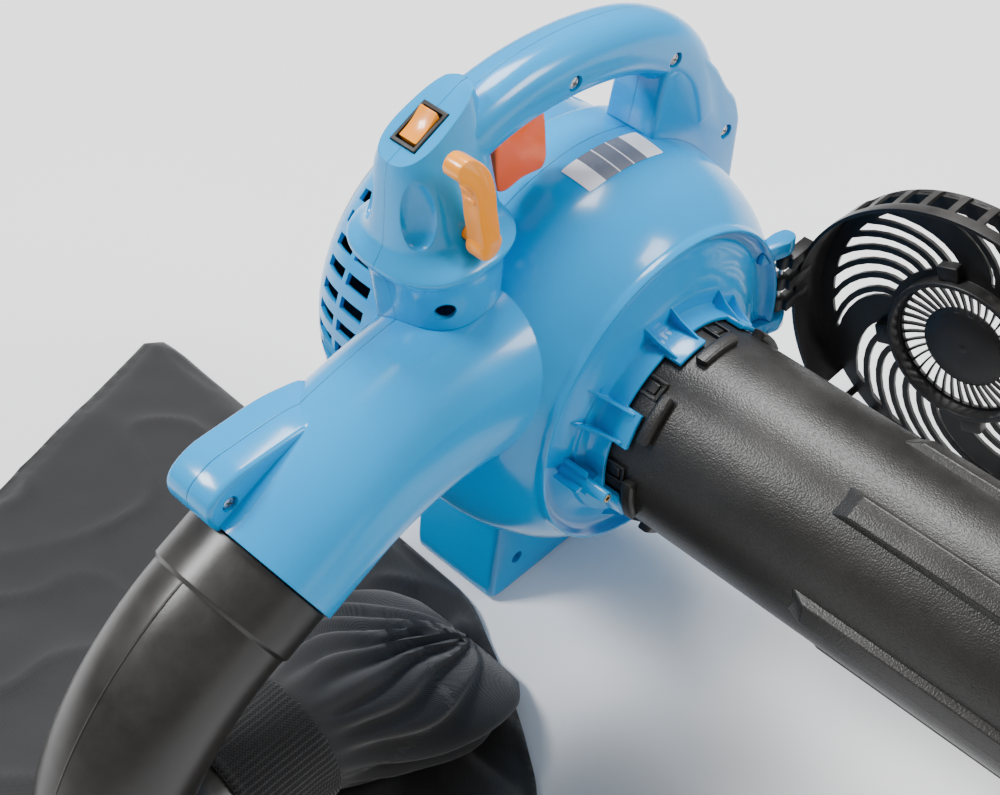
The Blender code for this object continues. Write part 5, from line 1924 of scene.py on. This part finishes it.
    def cuff(self) -> None:
        """Make the knitted cuff: fine ribs along its length, rolled at the open end."""
        mouth = self.mouth()
        inner = self.duct.tip_radius + 0.0007
        end = mouth.x - 0.0005
        start = end - self.cuff_length
        stations = [(0.0, 0.0022), (0.0008, 0.0036), (0.0030, 0.0046), (0.0058, 0.0040),
                    (0.0080, 0.0034), (0.030, 0.0036), (0.050, 0.0038), (0.0620, 0.0044),
                    (0.0665, 0.0040), (0.068, 0.0030)]
        line = smooth_line(stations, 4)
        across, up = Vector((0, 1, 0)), Vector((0, 0, 1))
        outer = [Ring(Vector((start + dx, NECK_Y, mouth.z)), across, up, inner + t, inner + t)
                 for dx, t in line]
        hollow = [Ring(Vector((start + dx, NECK_Y, mouth.z)), across, up, inner, inner)
                  for dx, _ in line]
        cuff = piped(outer, hollow, 288)
        mesh = cuff.data
        layer = mesh.uv_layers.new(name="UVMap")
        for loop in mesh.loops:
            co = mesh.vertices[loop.vertex_index].co
            around = math.atan2(co.z - mouth.z, co.y - NECK_Y)
            layer.data[loop.index].uv = (co.x, around * inner)
        ribs = 72
        for vert in mesh.vertices:
            away = Vector((0.0, vert.co.y - NECK_Y, vert.co.z - mouth.z))
            if away.length > inner + 0.0010:
                around = math.atan2(away.z, away.y)
                wave = noise.noise(Vector((vert.co.x * 60, around * 2.0, 0.0)))
                lift = 0.0007 * math.cos(around * ribs) + 0.0009 * wave
                vert.co += away.normalized() * lift
        publish(cuff, "knitted_cuff", "machine", CUFF_KNIT, ["bag_cuff"],
                sharp=80.0)

    def build(self) -> None:
        """Build the bag and its cuff."""
        bag = gather(self.lying_cloth(), self.throat())
        publish(bag, "bag_cloth", "machine", BAG_CLOTH, ["debris_bag"], sharp=80.0)
        self.cuff()


# ------------------------------------------------------------------ what stays from the frame


CARRIED: dict[str, Finish] = {
    "impeller": PART_BLACK, "cooling_fan": PART_BLACK, "trigger_switch": PART_BLACK,
    "interlock_switch": PART_BLACK, "cable_gland": PART_BLACK, "impeller_nut": STEEL,
    "rotor_shaft": STEEL, "front_bearing": STEEL, "rear_bearing": STEEL, "hinge_pin": STEEL,
    "motor_frame": FRAME_STEEL, "armature_core": LAMINATIONS, "stator_core": LAMINATIONS,
    "commutator": COPPER, "field_winding_front": COPPER, "field_winding_rear": COPPER,
    "brush_holder_upper": BRASS, "brush_holder_lower": BRASS, "front_bracket": ALUMINIUM,
    "rear_bracket": ALUMINIUM, "speed_board": BOARD_GREEN, "capacitor": CAPACITOR_GOLD,
    "carbon_brush_upper": CARBON, "carbon_brush_lower": CARBON,
}


def dress_carried(nodes: dict[str, bpy.types.Object]) -> None:
    """Give each CAD node that stays in view its own finish.

    Args:
        nodes: The frame's node objects by name.
    """
    for name, finish in CARRIED.items():
        data = nodes[name].data
        data.materials.clear()
        data.materials.append(finish.material())
        log.info("%s keeps its frame shape", name)


# ------------------------------------------------------------------ studio


@dataclass
class Studio:
    """The pale floor, the soft lights and the camera."""

    eye: Vector = field(default_factory=lambda: Vector((-0.652, -0.580, 1.061)))
    right: Vector = field(default_factory=lambda: Vector((0.6997, -0.7145, 0.0)))
    back: Vector = field(default_factory=lambda: Vector((-0.4972, -0.4869, 0.7181)))
    lens: float = 64.8

    def floor(self) -> None:
        """Lay a plain pale floor."""
        bm = bmesh.new()
        bmesh.ops.create_grid(bm, x_segments=1, y_segments=1, size=12.0)
        floor = shape_object(bm, face_out=False)
        floor.name = "studio_floor"
        floor.location.z = -0.0004
        mat = bpy.data.materials.new("pale_floor")
        mat.use_nodes = True
        nodes = Nodes(mat.node_tree)
        shader = mat.node_tree.nodes["Principled BSDF"]
        place = nodes.add("ShaderNodeTexCoord").outputs["Object"]
        cloud = nodes.noise(place, 3.0, 2.0)
        tone = nodes.blend(nodes.ramp(cloud, 0.3, 0.7), (0.86, 0.86, 0.87, 1.0),
                           (0.90, 0.90, 0.90, 1.0))
        nodes.tree.links.new(tone, shader.inputs["Base Color"])
        shader.inputs["Roughness"].default_value = 0.9
        shader.inputs["Specular IOR Level"].default_value = 0.1
        floor.data.materials.append(mat)

    def lamp(self, name: str, place: Sequence[float], aim: Sequence[float], size: float,
             watts: float) -> None:
        """Hang one square soft light.

        Args:
            name: The light's name.
            place: Where it hangs.
            aim: The point that it faces.
            size: The length of its side.
            watts: Its power.
        """
        data = bpy.data.lights.new(name, "AREA")
        data.shape = "SQUARE"
        data.size = size
        data.energy = watts
        lamp = bpy.data.objects.new(name, data)
        bpy.context.scene.collection.objects.link(lamp)
        lamp.location = place
        away = Vector(place) - Vector(aim)
        lamp.rotation_euler = away.to_track_quat("Z", "Y").to_euler()

    def camera(self) -> None:
        """Set up the camera."""
        data = bpy.data.cameras.new("camera")
        data.lens = self.lens
        data.sensor_width = 36.0
        camera = bpy.data.objects.new("camera", data)
        bpy.context.scene.collection.objects.link(camera)
        up = self.back.cross(self.right).normalized()
        turn = Matrix((self.right, up, self.back)).transposed().to_4x4()
        camera.matrix_world = Matrix.Translation(self.eye) @ turn
        bpy.context.scene.camera = camera

    def build(self) -> None:
        """Build the whole studio."""
        world = bpy.data.worlds.new("studio")
        bpy.context.scene.world = world
        world.use_nodes = True
        background = world.node_tree.nodes["Background"]
        background.inputs["Color"].default_value = (1.0, 1.0, 1.0, 1.0)
        background.inputs["Strength"].default_value = 0.42
        self.floor()
        middle = (-0.05, -0.1, 0.2)
        self.lamp("key", (-1.5, 1.5, 2.6), middle, 0.7, 95.0)
        self.lamp("overhead", (0.9, 0.6, 2.7), middle, 0.9, 95.0)
        self.lamp("front", (1.4, -2.0, 2.0), middle, 0.8, 55.0)
        self.camera()


def corners(box: tuple[Sequence[float], Sequence[float]]) -> list[list[float]]:
    """Return a box's two corners as plain lists."""
    return [[float(value) for value in corner] for corner in box]


def main() -> None:
    logging.basicConfig(level=logging.INFO, format="%(message)s")
    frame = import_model()
    Studio().build()
    FanCasing().build()
    MotorEnd().build()
    Handle().build()
    Controls().build()
    SuctionTubes().build()
    IntakeGrille().build()
    OutletDuct().build()
    DebrisBag().build()
    dress_carried(frame["nodes"])


if __name__ == "__main__":
    main()
